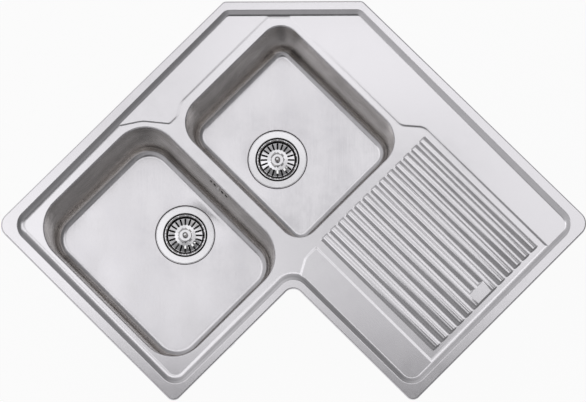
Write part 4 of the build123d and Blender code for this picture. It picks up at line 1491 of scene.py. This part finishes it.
@dataclass(frozen=True)
class Studio:
    """A pale floor, a soft overhead light and the camera of the photograph."""

    camera: tuple[float, float, float] = (0.8581, -0.6909, 6.7498)
    target: tuple[float, float, float] = (-0.0336, 0.0330, 0.0)
    image_up: tuple[float, float, float] = (-1.0, 1.0, 0.0)
    focal_px: float = 3478.0
    width_px: float = 586.0
    sensor: float = 36.0
    floor_z: float = -0.262
    floor_half: float = 12.0
    floor_white: float = 0.94  # share of plain white in what camera and reflections see
    box_height: float = 2.6
    boxes: tuple[SoftBox, ...] = (
        SoftBox("back_left", (-1.3, -0.30), (0.58, 1.25), 0.76),
        SoftBox("back", (-0.30, 0.42), (0.68, 1.25), 1.08),
        SoftBox("back_right", (0.42, 1.3), (0.58, 1.25), 0.96),
        SoftBox("left", (-1.3, -0.40), (0.08, 0.58), 1.14),
        SoftBox("middle", (-0.40, 0.42), (0.38, 0.58), 0.55),
        SoftBox("front_left", (-0.40, -0.06), (0.05, 0.38), 1.00),
        SoftBox("front_right", (-0.06, 0.42), (0.05, 0.38), 0.55),
        SoftBox("middle_back", (-0.30, 0.42), (0.58, 0.68), 0.55),
        SoftBox("right", (0.42, 1.3), (0.08, 0.58), 0.92),
    )
    sky: tuple[tuple[float, float], ...] = (  # height of the direction, and the sky's level there
        (0.0, 0.85),
        (0.35, 0.56),
        (0.52, 0.34),
        (0.74, 0.42),
        (0.85, 0.42),
        (0.92, 0.44),
        (0.952, 0.16),
        (0.985, 0.30),
    )
    sky_lean: tuple[float, float, float] = (-0.55, -0.45, 0.0)
    stand: tuple[float, float, float] = (0.22, -0.25, 0.943)
    stand_cosines: tuple[float, float] = (0.9816, 0.9962)
    stand_share: float = 0.06

    def place_camera(self) -> None:
        """Makes the camera, whose upright follows the sink's diagonal."""
        data = bpy.data.cameras.new("photo_camera")
        data.sensor_width = self.sensor
        data.lens = self.focal_px * self.sensor / self.width_px
        data.clip_start, data.clip_end = 0.1, 60.0
        eye = Vector(self.camera)
        ahead = (Vector(self.target) - eye).normalized()
        right = ahead.cross(Vector(self.image_up)).normalized()
        camera = bpy.data.objects.new("photo_camera", data)
        rows = np.eye(4)
        rows[:3] = np.column_stack([right, right.cross(ahead), -ahead, eye])
        camera.matrix_world = Matrix(rows.tolist())
        bpy.context.scene.collection.objects.link(camera)
        bpy.context.scene.camera = camera

    def place_floor(self) -> None:
        """Makes the pale floor, which keeps the shadow but looks white to camera and reflections.

        It has one side only, so that a view from below shows the sink's underside.
        """
        mesh = bpy.data.meshes.new("floor")
        side = self.floor_half
        spots = [(-side, -side), (side, -side), (side, side), (-side, side)]
        mesh.from_pydata([(*spot, self.floor_z) for spot in spots], [], [(0, 1, 2, 3)])
        floor = bpy.data.objects.new("floor", mesh)
        bpy.context.scene.collection.objects.link(floor)
        shade = Shading("pale_floor")
        mesh.materials.append(shade.finish({}, Base_Color=linear("#e6e6e6"), Roughness=0.9))
        rays = shade.node("LightPath").node.outputs
        seen = shade.node("Math", {0: rays["Is Camera Ray"], 1: rays["Is Glossy Ray"]}, operation="MAXIMUM")
        seen = shade.node("Math", {0: seen, 1: rays["Is Transmission Ray"]}, operation="MAXIMUM")
        share = shade.node("Math", {0: seen, 1: self.floor_white}, operation="MULTIPLY")
        white = shade.node("Emission", {"Color": (1.0, 1.0, 1.0, 1.0), "Strength": 1.0})
        above = shade.node("MixShader", {0: share, 1: shade.shader.outputs[0], 2: white})
        below = shade.node("NewGeometry", out="Backfacing")
        one_sided = shade.node("MixShader", {0: below, 1: above, 2: shade.node("BsdfTransparent")})
        shade.tree.links.new(one_sided, shade.tree.nodes["Material Output"].inputs[0])

    def place_light(self) -> None:
        """Hangs the soft boxes and sets the sky, whose level depends on height and leans to one side.

        With d the direction and f the level at its height, the sky is f(d.z) * (1 + lean . d), and it fades
        to a dark patch around the direction of the camera's stand.
        """
        for box in self.boxes:
            box.hang(self.box_height)
        world = bpy.data.worlds.new("studio")
        bpy.context.scene.world = world
        world.use_nodes = True
        sky = Nodes(world.node_tree)
        where = sky.node("TexCoord", out="Generated")
        ramp = sky.node("ValToRGB", {0: sky.node("SeparateXYZ", {0: where}, "Z")})
        leaning, near = (
            sky.node("VectorMath", {0: where, 1: way}, "Value", operation="DOT_PRODUCT")
            for way in (self.sky_lean, Vector(self.stand).normalized())
        )
        more = sky.node("Math", {0: leaning, 1: 1.0}, operation="ADD")
        dark = sky.node("MapRange", dict(enumerate((near, *self.stand_cosines, 1.0, self.stand_share))))
        level = sky.node("Math", {0: more, 1: dark}, operation="MULTIPLY")
        back = sky.tree.nodes["Background"]
        sky.tree.links.new(ramp, back.inputs[0])
        sky.tree.links.new(level, back.inputs[1])
        stops = ramp.node.color_ramp.elements
        chosen = [stops[0], *(stops.new(spot) for spot, _ in self.sky[1:-1]), stops[-1]]
        for stop, (spot, value) in zip(chosen, self.sky):
            stop.position, stop.color = spot, (value, value, value, 1.0)

    def place(self) -> None:
        """Builds the whole studio."""
        bpy.context.scene.view_settings.view_transform = "Standard"
        self.place_camera()
        self.place_floor()
        self.place_light()


def main() -> None:
    """Builds the studio and every sub-assembly in order."""
    logging.basicConfig(level=logging.INFO, format="%(name)s: %(message)s")
    Studio().place()
    Sink().place()
    # The second finish is dark steel of painted shade, for the dishes below their mouths and the baskets'
    # steep walls.
    steel, painted_shade = STRAINER_STEEL.build(), PAINTED_SHADE_STEEL.build()
    for bowl in (LEFT, CORNER):
        Strainer(bowl).place(steel, painted_shade)
    Fittings().dress()


if __name__ == "__main__":
    main()
